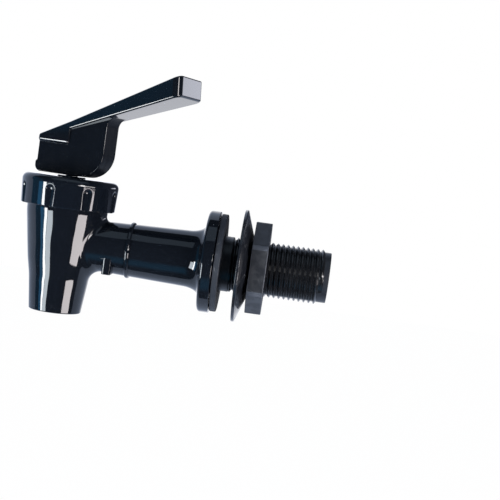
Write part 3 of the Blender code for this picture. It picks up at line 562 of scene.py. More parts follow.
def dust_specks(group, vector):
    """Sparse pale specks: the middles of a few of the cells."""
    cells = group.nodes.new("ShaderNodeTexVoronoi")
    group.links.new(vector, cells.inputs["Vector"])
    cells.inputs["Scale"].default_value = 520.0
    middle = ramp(group, cells.outputs["Distance"], 0.10, 0.03)
    pick = group.nodes.new("ShaderNodeSeparateColor")
    group.links.new(cells.outputs["Color"], pick.inputs[0])
    chosen = ramp(group, pick.outputs[0], 0.90, 0.96)
    return math_node(group, "MULTIPLY", middle, chosen)


def handling_scratches(group, vector):
    """Short curved hairlines in three directions, where noise is near its middle."""
    total = None
    for angle, scale in ((0.4, 170.0), (1.7, 230.0), (2.6, 120.0)):
        spin = group.nodes.new("ShaderNodeMapping")
        spin.inputs["Rotation"].default_value = (angle, angle * 1.7, angle * 0.6)
        group.links.new(vector, spin.inputs["Vector"])
        line = noise(group, spin.outputs["Vector"], scale, 0.0)
        off = math_node(group, "ABSOLUTE", math_node(group, "SUBTRACT", line, 0.5))
        thin = ramp(group, off, 0.006, 0.001)
        where = ramp(group, noise(group, spin.outputs["Vector"], scale * 1.3, 0.0), 0.60, 0.68)
        part = math_node(group, "MULTIPLY", thin, where)
        total = part if total is None else math_node(group, "MAXIMUM", total, part)
    return total


def placed(tree, name, vector, **values):
    """Places a shared node group in a material with its own values."""
    node = tree.nodes.new("ShaderNodeGroup")
    node.node_tree = bpy.data.node_groups[name]
    tree.links.new(vector, node.inputs["Vector"])
    for key, value in values.items():
        node.inputs[key].default_value = value
    return node


def new_material(name):
    """A material with its node tree, its shader and its Object coordinates."""
    material = bpy.data.materials.new(name)
    material.use_nodes = True
    tree = material.node_tree
    vector = tree.nodes.new("ShaderNodeTexCoord").outputs["Object"]
    return material, tree, tree.nodes["Principled BSDF"], vector


def plastic(name, rgb, roughness, dull=0.03, waviness=0.02, grain=0.0006, dust=0.3,
            scratches=0.008, cloudy=0.0, specular=0.5):
    """Moulded plastic or rubber.

    The waviness of its sink marks and the height of its grain are in millimetres. Dull and
    cloudy say how much rougher and paler its clouds are, and marks add to its roughness too.
    """
    material, tree, shader, vector = new_material(name)
    skin = placed(tree, "moulded skin", vector, Waviness=waviness, Grain=grain)
    specks = placed(tree, "dust specks", vector, Amount=dust)
    lines = placed(tree, "handling scratches", vector, Amount=scratches)
    pale = [c * (1.0 + 0.5 * cloudy) + 0.004 * cloudy for c in rgb]
    tint = mix_colours(tree, skin.outputs["Cloud"], rgb, pale)
    worn = math_node(tree, "MAXIMUM", specks.outputs["Mask"], lines.outputs["Mask"])
    marked = mix_colours(tree, worn, tint, MARK_COLOUR)
    tree.links.new(marked, shader.inputs["Base Color"])
    rough = math_node(tree, "MULTIPLY", skin.outputs["Cloud"], dull)
    rough = math_node(tree, "ADD", rough, roughness)
    rough = math_node(tree, "ADD", rough, math_node(tree, "MULTIPLY", worn, 0.3), clamp=True)
    tree.links.new(rough, shader.inputs["Roughness"])
    shader.inputs["IOR"].default_value = 1.5
    shader.inputs["Specular IOR Level"].default_value = specular
    relief = tree.nodes.new("ShaderNodeBump")
    relief.inputs["Strength"].default_value = 1.0
    relief.inputs["Distance"].default_value = MM
    tree.links.new(skin.outputs["Height"], relief.inputs["Height"])
    tree.links.new(relief.outputs["Normal"], shader.inputs["Normal"])
    return material


def steel(name, rgb, roughness):
    """Drawn or turned steel with fine darker streaks."""
    material, tree, shader, vector = new_material(name)
    shader.inputs["Metallic"].default_value = 1.0
    streaks = noise(tree, vector, FINE_GRAIN, 3.0)
    rough = math_node(tree, "ADD", math_node(tree, "MULTIPLY", streaks, 0.22), roughness)
    tree.links.new(rough, shader.inputs["Roughness"])
    tint = mix_colours(tree, streaks, [c * 0.8 for c in rgb], rgb)
    tree.links.new(tint, shader.inputs["Base Color"])
    return material


# The moulded body


def spout_curve(spout):
    """Outside of the spout and chamber as (radius, height) points from the mouth up."""
    waist_round, knee_round, shoulder_round = 28.0 * MM, 50.0 * MM, 22.0 * MM
    return rounded(
        [
            (spout.mouth_radius - LIP_ROUND, -spout.drop, 0.0),
            (spout.mouth_radius, -spout.drop, 0.5 * MM),
            (spout.waist_radius, -spout.waist_drop, waist_round),
            (spout.knee_radius, -spout.knee_drop, knee_round),
            (spout.chamber_radius, spout.straight_from, shoulder_round),
            (spout.chamber_radius, spout.top, 0.0),
        ],
        steps=6,
    )


def spout_inside(spout):
    """Inside as (radius, height) points: chamber, floor, the outlet's raised ring and the bore."""
    inner = spout.chamber_radius - spout.wall
    bore = spout.mouth_radius - spout.lip_wall
    outlet, floor = spout.outlet_radius, -spout.floor_drop
    ring_top, floor_under = floor + 0.9 * MM, floor - 2.4 * MM
    return rounded(
        [
            (inner, spout.top, 0.0),
            (inner, spout.straight_from, 0.0),
            (spout.knee_radius - spout.wall, floor, 1.2 * MM),
            (outlet + 1.2 * MM, floor, 0.0),
            (outlet + 0.84 * MM, ring_top, 0.2 * MM),
            (outlet + 0.24 * MM, ring_top, 0.2 * MM),
            (outlet, floor + 0.54 * MM, 0.0),
            (outlet, floor_under, 0.3 * MM),
            (bore - 1.2 * MM, floor_under, 0.6 * MM),
            (bore, -spout.drop, 0.3 * MM),
            (spout.mouth_radius - LIP_ROUND, -spout.drop, 0.0),
        ],
        steps=5,
    )


def radius_at(curve, height):
    """Radius of a (radius, height) curve at a height."""
    for (r0, z0), (r1, z1) in zip(curve, curve[1:]):
        if height <= z1 and z1 > z0:
            return r0 + (r1 - r0) * max(0.0, (height - z0) / (z1 - z0))
    return curve[-1][0]


def blend_line(curve, reach, angle, radius, blend, steps=10):
    """The fillet between the neck and the spout in one plane through the neck's axis.

    Gives (x, radius) points from where it leaves the spout's wall to where it joins the neck.
    The ball that makes the fillet stands where it first touches the wall, which is looked for
    at a number of heights.
    """
    centre_r = radius + blend
    tries = 120
    best = None
    for i in range(tries + 1):
        r = radius + blend * i / tries
        inside = radius_at(curve, r * math.sin(angle)) ** 2 - (r * math.cos(angle)) ** 2
        if inside <= 0.0:
            continue
        wall = math.sqrt(inside) - reach
        centre = wall + math.sqrt(max(0.0, blend**2 - (centre_r - r) ** 2))
        if best is None or centre > best[0]:
            best = (centre, wall, r)
    centre, wall, r = best
    touch = math.atan2(r - centre_r, wall - centre)
    if touch > 0.0:
        touch -= 2.0 * math.pi
    points = []
    for i in range(steps + 1):
        a = touch + (-math.pi / 2 - touch) * i / steps
        points.append((centre + blend * math.cos(a), centre_r + blend * math.sin(a)))
    return points


def flare_start(neck):
    """Where the neck starts to widen toward the flange."""
    return -neck.flange_thick - neck.flare_length


def neck_radius(spout, neck, x):
    """Radius of the plain neck at a distance along the shank's axis."""
    start = spout.chamber_radius - spout.reach
    t = min(1.0, max(0.0, (x - start) / (flare_start(neck) - start)))
    return neck.spout_end + (neck.flange_end - neck.spout_end) * t


def shank_end(neck):
    """Distance from the flange's rear face to the shank's end."""
    return neck.plain + neck.threaded + neck.pilot


def neck_outline(spout, neck):
    """Rings of the neck, flange and shank as (x, radius), from the spout out."""
    start, bead = NECK_START - spout.reach, neck.bead_from_axis - spout.reach
    rings = []
    for k in range(5):
        x = start + (bead - neck.bead_width / 2 - start) * k / 5
        rings.append((x, neck_radius(spout, neck, x)))
    for k in range(11):
        a = math.pi * k / 10
        x = bead - neck.bead_width / 2 * math.cos(a)
        rings.append((x, neck_radius(spout, neck, bead) + neck.bead_proud * math.sin(a) ** 0.8))
    flare = flare_start(neck)
    x = bead + neck.bead_width
    while x < flare - 1.0 * MM:
        rings.append((x, neck_radius(spout, neck, x)))
        x += 2.0 * MM
    front = -neck.flange_thick - FLANGE_SLOPE
    for k in range(17):
        a = math.pi / 2 * k / 16
        x = flare + (front - flare) * math.sin(a)
        rings.append((x, neck.flange_end + FLARE_RISE * (1.0 - math.cos(a))))
    thread_start, thread_end = neck.plain, neck.plain + neck.threaded
    edge = rounded(
        [
            (front, neck.flange_end + FLARE_RISE, 0.0),
            (-neck.flange_thick, neck.flange_radius, 1.3 * MM),
            (0.0, neck.flange_radius, 0.35 * MM),
            (0.0, neck.shank_radius, 0.25 * MM),
            (thread_start, neck.shank_radius, 0.2 * MM),
            (thread_start + 0.35 * MM, neck.root_radius, 0.0),
            (thread_end, neck.root_radius, 0.0),
            (shank_end(neck), neck.root_radius, 0.25 * MM),
            (shank_end(neck), neck.root_radius - 1.2 * MM, 0.0),
        ],
        steps=7,
    )
    return rings + edge[1:]


def make_lug(spout, neck):
    """Upright block with rounded edges, buried in the neck from below."""
    middle = neck.lug_from_axis - spout.reach
    radius = neck_radius(spout, neck, middle)
    low, high = -radius - neck.lug_proud, -0.2 * radius
    bm = bmesh.new()
    bmesh.ops.create_cube(bm, size=1.0)
    bmesh.ops.scale(bm, verts=bm.verts, vec=(neck.lug_width, 2.0 * neck.lug_reach, high - low))
    bmesh.ops.translate(bm, verts=bm.verts, vec=(middle, 0.0, (low + high) / 2))
    round_edges(bm, [e for e in bm.edges if span(e, 2) > 1.0 * MM], neck.lug_edge, 6)
    foot = [e for e in sharp_edges(bm) if e.verts[0].co.z < low + 0.1 * MM]
    round_edges(bm, foot, 0.35 * MM)
    return bm


def open_wall(bm, spout, curve):
    """Opens the spout's outer wall for the neck and gives the opening's edges."""
    limit = 2.0 * math.pi * NECK_OPENING_STEPS / WALL_STEPS
    doomed = []
    for face in bm.faces:
        c = face.calc_center_median()
        x, y = c.x + spout.reach, c.y
        on_wall = math.hypot(x, y) > radius_at(curve, c.z) - 0.6 * MM
        if on_wall and OPENING_LOW < c.z < OPENING_HIGH and abs(math.atan2(y, x)) < limit:
            doomed.append(face)
    bmesh.ops.delete(bm, geom=doomed, context="FACES")
    return [e for e in bm.edges if e.is_boundary]


def neck_ray(spout, neck, curve, edge):
    """Points of one long line of the neck, from the opening's edge to the shank's end."""
    angle = math.atan2(edge.z, edge.y)
    lowness = (0.5 * (1.0 - math.sin(angle))) ** 0.7
    blend = neck.blend_top + (neck.blend_low - neck.blend_top) * lowness
    line = blend_line(curve, spout.reach, angle, neck.spout_end, blend)
    touch_x, touch_r = line[0]
    touch_z = touch_r * math.sin(angle)
    touch_turn = math.atan2(touch_r * math.cos(angle), touch_x + spout.reach)
    edge_turn = math.atan2(edge.y, edge.x + spout.reach)
    spots = []
    for k in range(1, 9):
        t = k / 8
        z = edge.z + (touch_z - edge.z) * t
        turn = edge_turn + (touch_turn - edge_turn) * t
        r = radius_at(curve, z)
        spots.append((r * math.cos(turn) - spout.reach, r * math.sin(turn), z))
    for x, r in line[1:]:
        spots.append((x, r * math.cos(angle), r * math.sin(angle)))
    last = spots[-1][0]
    for x, r in neck_outline(spout, neck):
        if x < last:
            x = last + LEVEL
        last = x
        spots.append((x, r * math.cos(angle), r * math.sin(angle)))
    return spots


def draw_neck(bm, loop, spout, neck, curve):
    """Draws the neck, flange and shank out of the opening ring by ring, and closes the end."""
    rays = {v: neck_ray(spout, neck, curve, v.co) for v in {v for e in loop for v in e.verts}}
    for step in range(len(next(iter(rays.values())))):
        grown = bmesh.ops.extrude_edge_only(bm, edges=loop)
        fresh = {tuple(v.co): v for v in new_verts(grown)}
        rays = {fresh[tuple(vert.co)]: spots for vert, spots in rays.items()}
        for vert, spots in rays.items():
            vert.co = spots[step]
        loop = [g for g in grown["geom"] if isinstance(g, bmesh.types.BMEdge)]
    bmesh.ops.contextual_create(bm, geom=loop)


def make_body_shell(spout, neck):
    """One closed mesh: spout, chamber, faired neck, bead, lug, flange and shank."""
    curve = spout_curve(spout)
    low, high, apart = OPENING_LOW, OPENING_HIGH, 0.2 * MM
    heights = [low + (high - low) * k / OPENING_ROWS for k in range(OPENING_ROWS + 1)]
    wall = [p for p in curve if p[1] < low - apart]
    wall += [(radius_at(curve, z), z) for z in heights]
    wall += [p for p in curve if p[1] > high + apart]
    bm = turned(wall + spout_inside(spout)[:-1], "Z", WALL_STEPS, -spout.reach)
    draw_neck(bm, open_wall(bm, spout, curve), spout, neck, curve)
    body = new_object("body_moulding", bm)
    carve(body, make_lug(spout, neck), "UNION")
    start, end = spout.outlet_radius - spout.reach, shank_end(neck) + OVERCUT
    bore = [(0.0, start), (neck.inlet_radius, start), (neck.inlet_radius, end), (0.0, end)]
    carve(body, turned(bore, "X", 96, closed=False))
    return shade(body)


def make_thread(neck):
    """Closed helical ridge of the shank's thread, run out at both ends."""
    steps = 72
    count = round((round(neck.threaded / neck.pitch) + RUN_OUT) * steps)
    crest, root, pitch = neck.shank_radius, neck.root_radius, neck.pitch
    foot, flat, buried = 0.44 * pitch, 0.07 * pitch, root - 0.4 * MM
    ridge = [(-foot, buried), (-foot, root), (-flat, crest)]
    ridge += [(-x, r) for x, r in reversed(ridge)]
    bm = bmesh.new()
    start = neck.plain - 0.2 * pitch
    edges = wire(bm, [(start + x, 0.0, r) for x, r in ridge], closed=True)[1]
    cap = bmesh.ops.contextual_create(bm, geom=edges)["faces"]
    sweep(bm, cap, (1.0, 0.0, 0.0), pitch, steps, count)
    turns = count / steps
    for vert in bm.verts:
        r = math.hypot(vert.co.y, vert.co.z)
        if r < root + 0.1 * MM:
            continue
        turn = (math.atan2(vert.co.z, vert.co.y) / (2.0 * math.pi) - 0.25) % 1.0
        along = (vert.co.x - start) / pitch
        along = turn + round(along - turn)
        end = min(1.0, max(0.0, along / RUN_OUT), max(0.0, (turns - along) / RUN_OUT))
        scale = (root + (r - root) * end) / r
        vert.co.y *= scale
        vert.co.z *= scale
    return shade(new_object("shank_thread", bm), math.radians(28.0))


# The other pieces


def fluted_radius(bonnet, r, angle, z):
    """Radius that a point of the bonnet's outside falls back to where a flute takes it in."""
    pitch = 2.0 * math.pi / bonnet.flutes
    reach = bonnet.top_radius + bonnet.flute_radius - bonnet.flute_depth
    turn = (angle - bonnet.flute_first + pitch / 2) % pitch - pitch / 2
    above = max(0.0, z - bonnet.flute_top + bonnet.flute_radius)
    radius = math.sqrt(max(0.0, bonnet.flute_radius**2 - above**2))
    side = reach * math.sin(turn)
    if abs(side) >= radius:
        return r
    groove = reach * math.cos(turn) - math.sqrt(radius**2 - side**2)
    soft = 0.10 * MM  # how far the flute's edge is eased
    fall = (r - groove + math.sqrt((r - groove) ** 2 + soft**2)) / 2
    return r - fall + 0.1 * soft


def make_bonnet_shell(spout, bonnet):
    """Bonnet with its flutes drawn into the outside of a fine turned mesh."""
    boss_top = bonnet.top_height + 0.4 * MM
    outer = rounded(
        [
            (bonnet.bore_radius, bonnet.rim_height, 0.0),
            (bonnet.rim_radius, bonnet.rim_height, 0.45 * MM),
            (bonnet.top_radius, bonnet.top_height, bonnet.shoulder),
            (bonnet.boss_radius + 0.5 * MM, bonnet.top_height, 0.3 * MM),
            (bonnet.boss_radius, boss_top, 0.25 * MM),
            (bonnet.stem_hole, boss_top, 0.0),
        ],
        steps=9,
    )
    fluted_from = bonnet.rim_radius - 1.6 * MM
    fine = 0.17 * MM  # distance between the rings of the fluted outside
    profile = []
    for (r0, z0), (r1, z1) in zip(outer, outer[1:]):
        parts = 1
        if min(r0, r1) > fluted_from:
            parts = max(1, round(math.hypot(r1 - r0, z1 - z0) / fine))
        for k in range(parts):
            profile.append((r0 + (r1 - r0) * k / parts, z0 + (z1 - z0) * k / parts))
    ceiling = bonnet.top_height - bonnet.top_thick
    profile += [outer[-1], (bonnet.stem_hole, ceiling), (bonnet.bore_radius, ceiling)]
    bm = turned(profile, "Z", BONNET_STEPS, -spout.reach)
    for vert in bm.verts:
        x, y = vert.co.x + spout.reach, vert.co.y
        r = math.hypot(x, y)
        if r >= fluted_from and vert.co.z <= bonnet.flute_top:
            scale = fluted_radius(bonnet, r, math.atan2(y, x), vert.co.z) / r
            vert.co.x = x * scale - spout.reach
            vert.co.y = y * scale
    return shade(new_object("bonnet_moulding", bm), math.radians(40.0))


def lever_top(lever, u):
    """Height of the paddle's top at a distance in front of the stem's axis."""
    return lever.bottom + lever.top_height + lever.top_slope * u


def lever_under(lever, u):
    """Height of the paddle's underside at a distance in front of the stem's axis."""
    return lever.bottom + lever.under_height + lever.under_slope * u


def make_lever_block(lever):
    """Cam block: heel step, flat bottom, cam corner, front face and throat."""
    z0, rear, front = lever.bottom, -lever.rear, lever.front
    heel, heel_top, rear_low = rear - 0.7 * MM, z0 + 3.9 * MM, z0 + 4.7 * MM
    buried = 1.4 * MM  # depth of the block's top in the paddle
    slope = math.atan(lever.under_slope)
    centre = front + lever.throat_radius
    centre_z = lever_under(lever, centre) - lever.throat_radius / math.cos(slope)
    outline = rounded(
        [
            (rear, lever_top(lever, rear) - buried, 0.0),
            (rear, rear_low, 0.3 * MM),
            (heel, heel_top, 0.5 * MM),
            (heel, z0, 2.6 * MM),
            (front, z0, lever.cam_radius),
            (front, centre_z, 0.0),
        ],
        steps=14,
    )
    for k in range(1, 13):
        a = math.pi - (math.pi / 2 - slope) * k / 12
        u = centre + lever.throat_radius * math.cos(a)
        outline.append((u, centre_z + lever.throat_radius * math.sin(a)))
    outline.append((u, lever_under(lever, u) + 1.0 * MM))
    inner = rear + 4.0 * MM
    outline.append((inner, lever_top(lever, inner) - buried))
    bm = slab(outline, lever.block_width / 2)
    round_edges(bm, [e for e in sharp_edges(bm) if span(e, 1) < LEVEL], lever.edge, 5)
    return bm


def make_paddle(lever):
    """Flared paddle with the deeper skirt behind."""
    rear, step, tip = -lever.rear, -lever.skirt_front, lever.tip
    skirt_z = lever.bottom + lever.skirt_low
    outline = [
        (rear, lever_top(lever, rear)),
        (rear, skirt_z),
        (step, skirt_z),
        (step, lever_under(lever, step)),
        (tip + lever.tip_draft, lever_under(lever, tip + lever.tip_draft)),
        (tip, lever_top(lever, tip)),
        (step, lever_top(lever, step)),
    ]
    bm = slab(outline, lever.skirt_width / 2)
    bmesh.ops.bisect_plane(
        bm,
        geom=bm.verts[:] + bm.edges[:] + bm.faces[:],
        dist=NEAR,
        plane_co=(step, 0.0, 0.0),
        plane_no=(1.0, 0.0, 0.0),
    )
    at_tip = {vert for vert in bm.verts if vert.co.x > tip - 1.0 * MM}
    for vert in at_tip:
        vert.co.y *= lever.tip_width / lever.skirt_width
    upright = [e for e in bm.edges if at_tip.issuperset(e.verts) and span(e, 2) > 2.0 * MM]
    round_edges(bm, upright, lever.tip_corner, 10)
    foot = {v for v in bm.verts if abs(v.co.z - skirt_z) < LEVEL and v.co.x < step + LEVEL}
    skirt = [e for e in sharp_edges(bm) if foot.issuperset(e.verts) and span(e, 1) < LEVEL]
    round_edges(bm, skirt, lever.skirt_edge, 6)
    round_edges(bm, sharp_edges(bm, math.radians(35.0)), lever.edge, 5)
    return bm


def in_lever_place(bm, spout, lever):
    """Turns lever coordinates into the model's: the swivel about the stem's axis."""
    place = Matrix.Translation((-spout.reach, 0.0, 0.0)) @ Matrix.Rotation(lever.swivel, 4, "Z")
    bm.transform(place)
    return bm


def make_lever_shell(spout, lever):
    """Lever with its slot for the stem and its blind pin hole."""
    shell = new_object("lever_moulding", in_lever_place(make_paddle(lever), spout, lever))
    carve(shell, in_lever_place(make_lever_block(lever), spout, lever), "UNION")
    pin_z = lever.bottom + lever.pin_height
    half, half_width = 4.8 * MM, 2.5 * MM  # half of the slot's length and width
    low, top = lever.bottom - 2.0 * OVERCUT, pin_z + 3.5 * MM
    slot = slab([(-half, low), (half, low), (half, top), (-half, top)], half_width)
    carve(shell, in_lever_place(slot, spout, lever))
    pin, blind, far = 1.55 * MM, -3.7 * MM, 9.0 * MM  # the hole's radius and its two ends
    hole = turned([(0.0, blind), (pin, blind), (pin, far), (0.0, far)], "Z", 40, closed=False)
    hole.transform(Matrix.Translation((0.0, 0.0, pin_z)) @ Matrix.Rotation(-math.pi / 2, 4, "X"))
    carve(shell, in_lever_place(hole, spout, lever))
    return shade(shell)


def second_finish(obj, material, chosen):
    """Gives the faces for which chosen(centre, normal) holds a second material."""
    obj.data.materials.append(material)
    for face in obj.data.polygons:
        if chosen(face.center, face.normal):
            face.material_index = 1


def shank_face(neck):
    """Picks the shank's outside and end, behind the flange."""
    inner, outer = neck.inlet_radius + 0.1 * MM, neck.shank_radius + 1.0 * MM

    def chosen(centre, normal):
        return centre.x > 0.05 * MM and inner < math.hypot(centre.y, centre.z) < outer

    return chosen


def painted_shade_faces(spout, lever):
    """Picks the block's front, cam corner and throat, which get a rougher plastic that reflects
    little, as painted shade that keeps them dark.
    """
    back = Matrix.Rotation(-lever.swivel, 4, "Z") @ Matrix.Translation((spout.reach, 0.0, 0.0))
    turn_back = back.to_3x3()

    def chosen(centre, normal):
        spot = back @ centre
        ahead = spot.x > 4.0 * MM
        below = spot.z < lever_under(lever, spot.x) - 0.05 * MM
        return ahead and below and abs((turn_back @ normal).y) < 0.5

    return chosen


def nut_edges(clamp):
    """Picks the nut's rounded edges, which are rubbed paler than its flats."""
    sixth, on_flat = math.pi / 3, math.radians(12.0)
    countersunk = clamp.sink_radius + 0.5 * MM

    def chosen(centre, normal):
        if math.hypot(centre.y, centre.z) < countersunk or abs(normal.x) > 0.97:
            return False
        off = (math.atan2(normal.z, normal.y) + sixth / 2) % sixth - sixth / 2
        return abs(normal.x) > 0.2 or abs(off) > on_flat

    return chosen


def make_seat_cup(spout):
    """Soft cup that closes the outlet, with its clamped rim."""
    low = -spout.floor_drop + 1.2 * MM
    rim = spout.top + 0.3 * MM
    top_radius = spout.chamber_radius - spout.wall - 1.8 * MM
    plug, collar = spout.outlet_radius + 2.4 * MM, spout.chamber_radius - 0.6 * MM
    wall, lip, rim_thick = 1.1 * MM, 0.8 * MM, 1.4 * MM
    knob, knob_z = 2.3 * MM, low + 2.6 * MM
    profile = rounded(
        [
            (0.0, low, 0.0),
            (plug, low, 0.7 * MM),
            (plug, low + PLUG_HEIGHT, 1.5 * MM),
            (top_radius, rim - lip, 1.0 * MM),
            (top_radius + lip, rim, 0.0),
            (collar, rim, 0.0),
            (collar, rim + rim_thick, 0.0),
            (top_radius - wall, rim + rim_thick, 0.0),
            (top_radius - wall, rim - lip, 0.0),
            (plug - wall, low + PLUG_HEIGHT, 0.0),
            (knob, low + PLUG_HEIGHT, 0.0),
            (knob, knob_z, 0.0),
            (0.0, knob_z, 0.0),
        ],
        steps=6,
    )
    return shade(new_object("silicone_cup", turned(profile, "Z", 96, -spout.reach, closed=False)))


def make_spring(spout, low, high):
    """Coil spring of round wire between two heights, its end turns lying close."""
    mean, thick, turns, steps = 4.6 * MM, 0.5 * MM, 7, 64
    rise = 4.0 * thick  # height of a turn before the coil is spread
    closing = 0.75  # turns at each end that lie close
    bm = bmesh.new()
    place = Matrix.Translation((mean, 0.0, 0.0)) @ Matrix.Rotation(math.pi / 2, 4, "X")
    bmesh.ops.create_circle(bm, cap_ends=True, segments=12, radius=thick, matrix=place)
    sweep(bm, bm.faces[:], (0.0, 0.0, 1.0), rise, steps, turns * steps)
    room = high - low - 2.0 * thick
    lie = 2.3 * thick  # height that each end takes
    for vert in bm.verts:
        turn = (math.atan2(vert.co.y, vert.co.x) / (2.0 * math.pi)) % 1.0
        along = vert.co.z / rise
        along = min(float(turns), max(0.0, turn + round(along - turn)))
        offset = vert.co.z - along * rise
        spread = min(1.0, max(0.0, (along - closing) / (turns - 2.0 * closing)))
        close = min(1.0, along / closing) + max(0.0, (along - turns) / closing + 1.0)
        vert.co.z = low + thick + lie * close + (room - 2.0 * lie) * spread + offset
    bmesh.ops.translate(bm, verts=bm.verts, vec=(-spout.reach, 0.0, 0.0))
    return shade(new_object("valve_spring", bm))


def make_ring(name, corners, steps, columns):
    """A ring round the shank's axis, turned from (radius, x, rounding) corners."""
    return shade(new_object(name, turned(rounded(corners, True, steps), "X", columns)))


def make_flat_washer(clamp):
    """Flat rubber washer with softly rounded edges."""
    bore, radius = clamp.flat_bore, clamp.flat_radius
    x0, x1 = clamp.play, clamp.play + clamp.flat_thick
    inner, outer = 0.25 * MM, 0.35 * MM
    corners = [(bore, x0, inner), (radius, x0, outer), (radius, x1, outer), (bore, x1, inner)]
    return make_ring("rubber_washer", corners, 4, 160)


def make_cone_washer(clamp):
    """Cone washer, flat toward the dispenser's wall."""
    bore, radius = clamp.cone_bore, clamp.cone_radius
    x0 = clamp.play + clamp.flat_thick + clamp.wall_gap
    corners = [
        (bore, x0, 0.2 * MM),
        (radius, x0, 0.3 * MM),
        (radius, x0 + clamp.cone_rim, 0.4 * MM),
        (bore + 0.4 * MM, x0 + clamp.cone_thick, 0.4 * MM),
        (bore, x0 + clamp.cone_thick, 0.12 * MM),
    ]
    return make_ring("cone_washer", corners, 5, 192)


def make_nut(clamp):
    """Hex nut with rounded corners, soft edges and a countersink on both faces."""
    x0 = 2 * clamp.play + clamp.flat_thick + clamp.wall_gap + clamp.cone_thick
    x1, depth = x0 + clamp.nut_thick, clamp.sink_depth
    bm = bmesh.new()
    point = clamp.nut_flats / 2 / math.cos(math.pi / 6)
    upright = Matrix.Rotation(math.pi / 2, 4, "Y") @ Matrix.Rotation(math.pi / 6, 4, "Z")
    place = Matrix.Translation((x0, 0.0, 0.0)) @ upright
    bmesh.ops.create_circle(bm, cap_ends=True, segments=6, radius=point, matrix=place)
    grown = bmesh.ops.extrude_face_region(bm, geom=bm.faces[:], use_keep_orig=True)
    bmesh.ops.translate(bm, verts=new_verts(grown), vec=(clamp.nut_thick, 0.0, 0.0))
    bmesh.ops.recalc_face_normals(bm, faces=bm.faces)
    corner, edge = 1.8 * MM, 0.3 * MM  # roundings
    round_edges(bm, [e for e in bm.edges if span(e, 0) > 1.0 * MM], corner, 6)
    round_edges(bm, sharp_edges(bm), edge)
    nut = new_object("lock_nut_moulding", bm)
    tool = rounded(
        [
            (0.0, x0 - OVERCUT, 0.0),
            (clamp.sink_radius, x0 - OVERCUT, 0.0),
            (clamp.sink_radius, x0, 0.0),
            (clamp.nut_bore, x0 + depth, 0.4 * MM),
            (clamp.nut_bore, x1 - depth, 0.4 * MM),
            (clamp.sink_radius, x1, 0.0),
            (clamp.sink_radius, x1 + OVERCUT, 0.0),
            (0.0, x1 + OVERCUT, 0.0),
        ],
        steps=4,
    )
    carve(nut, turned(tool, "X", 144, closed=False))
    return shade(nut)


# Stage


def area_light(factor, name, azimuth, elevation, distance, width, height, radiance, rgb):
    """A softbox that gives its radiance over a rectangle and faces LAMP_AIM."""
    a, e = math.radians(azimuth), math.radians(elevation)
    away = Vector((math.sin(a) * math.cos(e), -math.cos(a) * math.cos(e), math.sin(e)))
    data = bpy.data.lights.new(name, "AREA")
    data.shape = "RECTANGLE"
    data.size, data.size_y = width, height
    data.color = rgb
    data.energy = radiance * math.pi * width * height * factor
    lamp = link(name, data)
    lamp.location = LAMP_AIM + away * distance
    lamp.rotation_mode = "QUATERNION"
    lamp.rotation_quaternion = (-away).to_track_quat("-Z", "Y")


def make_world(dim):
    """The white table behind the spigot, the dim room in front of it, and white for the camera."""
    world = bpy.data.worlds.new("white table and dim room")
    bpy.context.scene.world = world
    world.use_nodes = True
    tree = world.node_tree
    tree.nodes.clear()
    vector = tree.nodes.new("ShaderNodeTexCoord").outputs["Generated"]
    parts = tree.nodes.new("ShaderNodeSeparateXYZ")
    tree.links.new(vector, parts.inputs[0])
    x, y, z = (parts.outputs[name] for name in "XYZ")

    def times(*factors):
        """Product of the factors."""
        product = factors[0]
        for factor in factors[1:]:
            product = math_node(tree, "MULTIPLY", product, factor)
        return product

    # Room: nearly black, with a dim blue side toward -X and a soft blue glow from below, which
    # shows along the neck's lower near side
    blue_side = times(ramp(tree, x, -0.80, -0.88), ramp(tree, z, -0.5, -0.1))
    room = mix_colours(tree, blue_side, (dim * 0.8, dim, dim * 1.25), (0.02, 0.17, 0.33))
    low = times(
        ramp(tree, z, -0.46, -0.70),
        ramp(tree, z, -0.95, -0.80),
        ramp(tree, math_node(tree, "ABSOLUTE", x), 0.45, 0.15),
    )
    room = mix_colours(tree, low, room, (0.05, 0.28, 0.52))
    # Table: it ends sooner upward, and toward +X its upper part is dark but for one pale patch
    reach = times(math_node(tree, "MAXIMUM", z, 0.0), 0.42)
    on_table = ramp(tree, math_node(tree, "SUBTRACT", y, reach), -0.012, 0.012)
    tone = mix_colours(tree, ramp(tree, y, 0.80, 0.93), (0.62, 0.74, 0.98), (1.25, 1.28, 1.38))
    upper = times(ramp(tree, x, -0.02, 0.14), ramp(tree, z, -0.15, -0.08))
    tone = mix_colours(tree, upper, tone, (0.06, 0.07, 0.10))
    patch = times(
        ramp(tree, x, 0.50, 0.58),
        ramp(tree, x, 0.86, 0.78),
        ramp(tree, z, 0.07, 0.10),
        ramp(tree, z, 0.21, 0.18),
    )
    tone = mix_colours(tree, patch, tone, (3.7, 3.8, 4.3))
    path = tree.nodes.new("ShaderNodeLightPath")
    around = mix_colours(tree, on_table, room, tone)
    seen = mix_colours(tree, path.outputs["Is Camera Ray"], around, (1.0, 1.0, 1.0))
    background = tree.nodes.new("ShaderNodeBackground")
    tree.links.new(seen, background.inputs["Color"])
    leave = tree.nodes.new("ShaderNodeOutputWorld")
    tree.links.new(background.outputs[0], leave.inputs["Surface"])


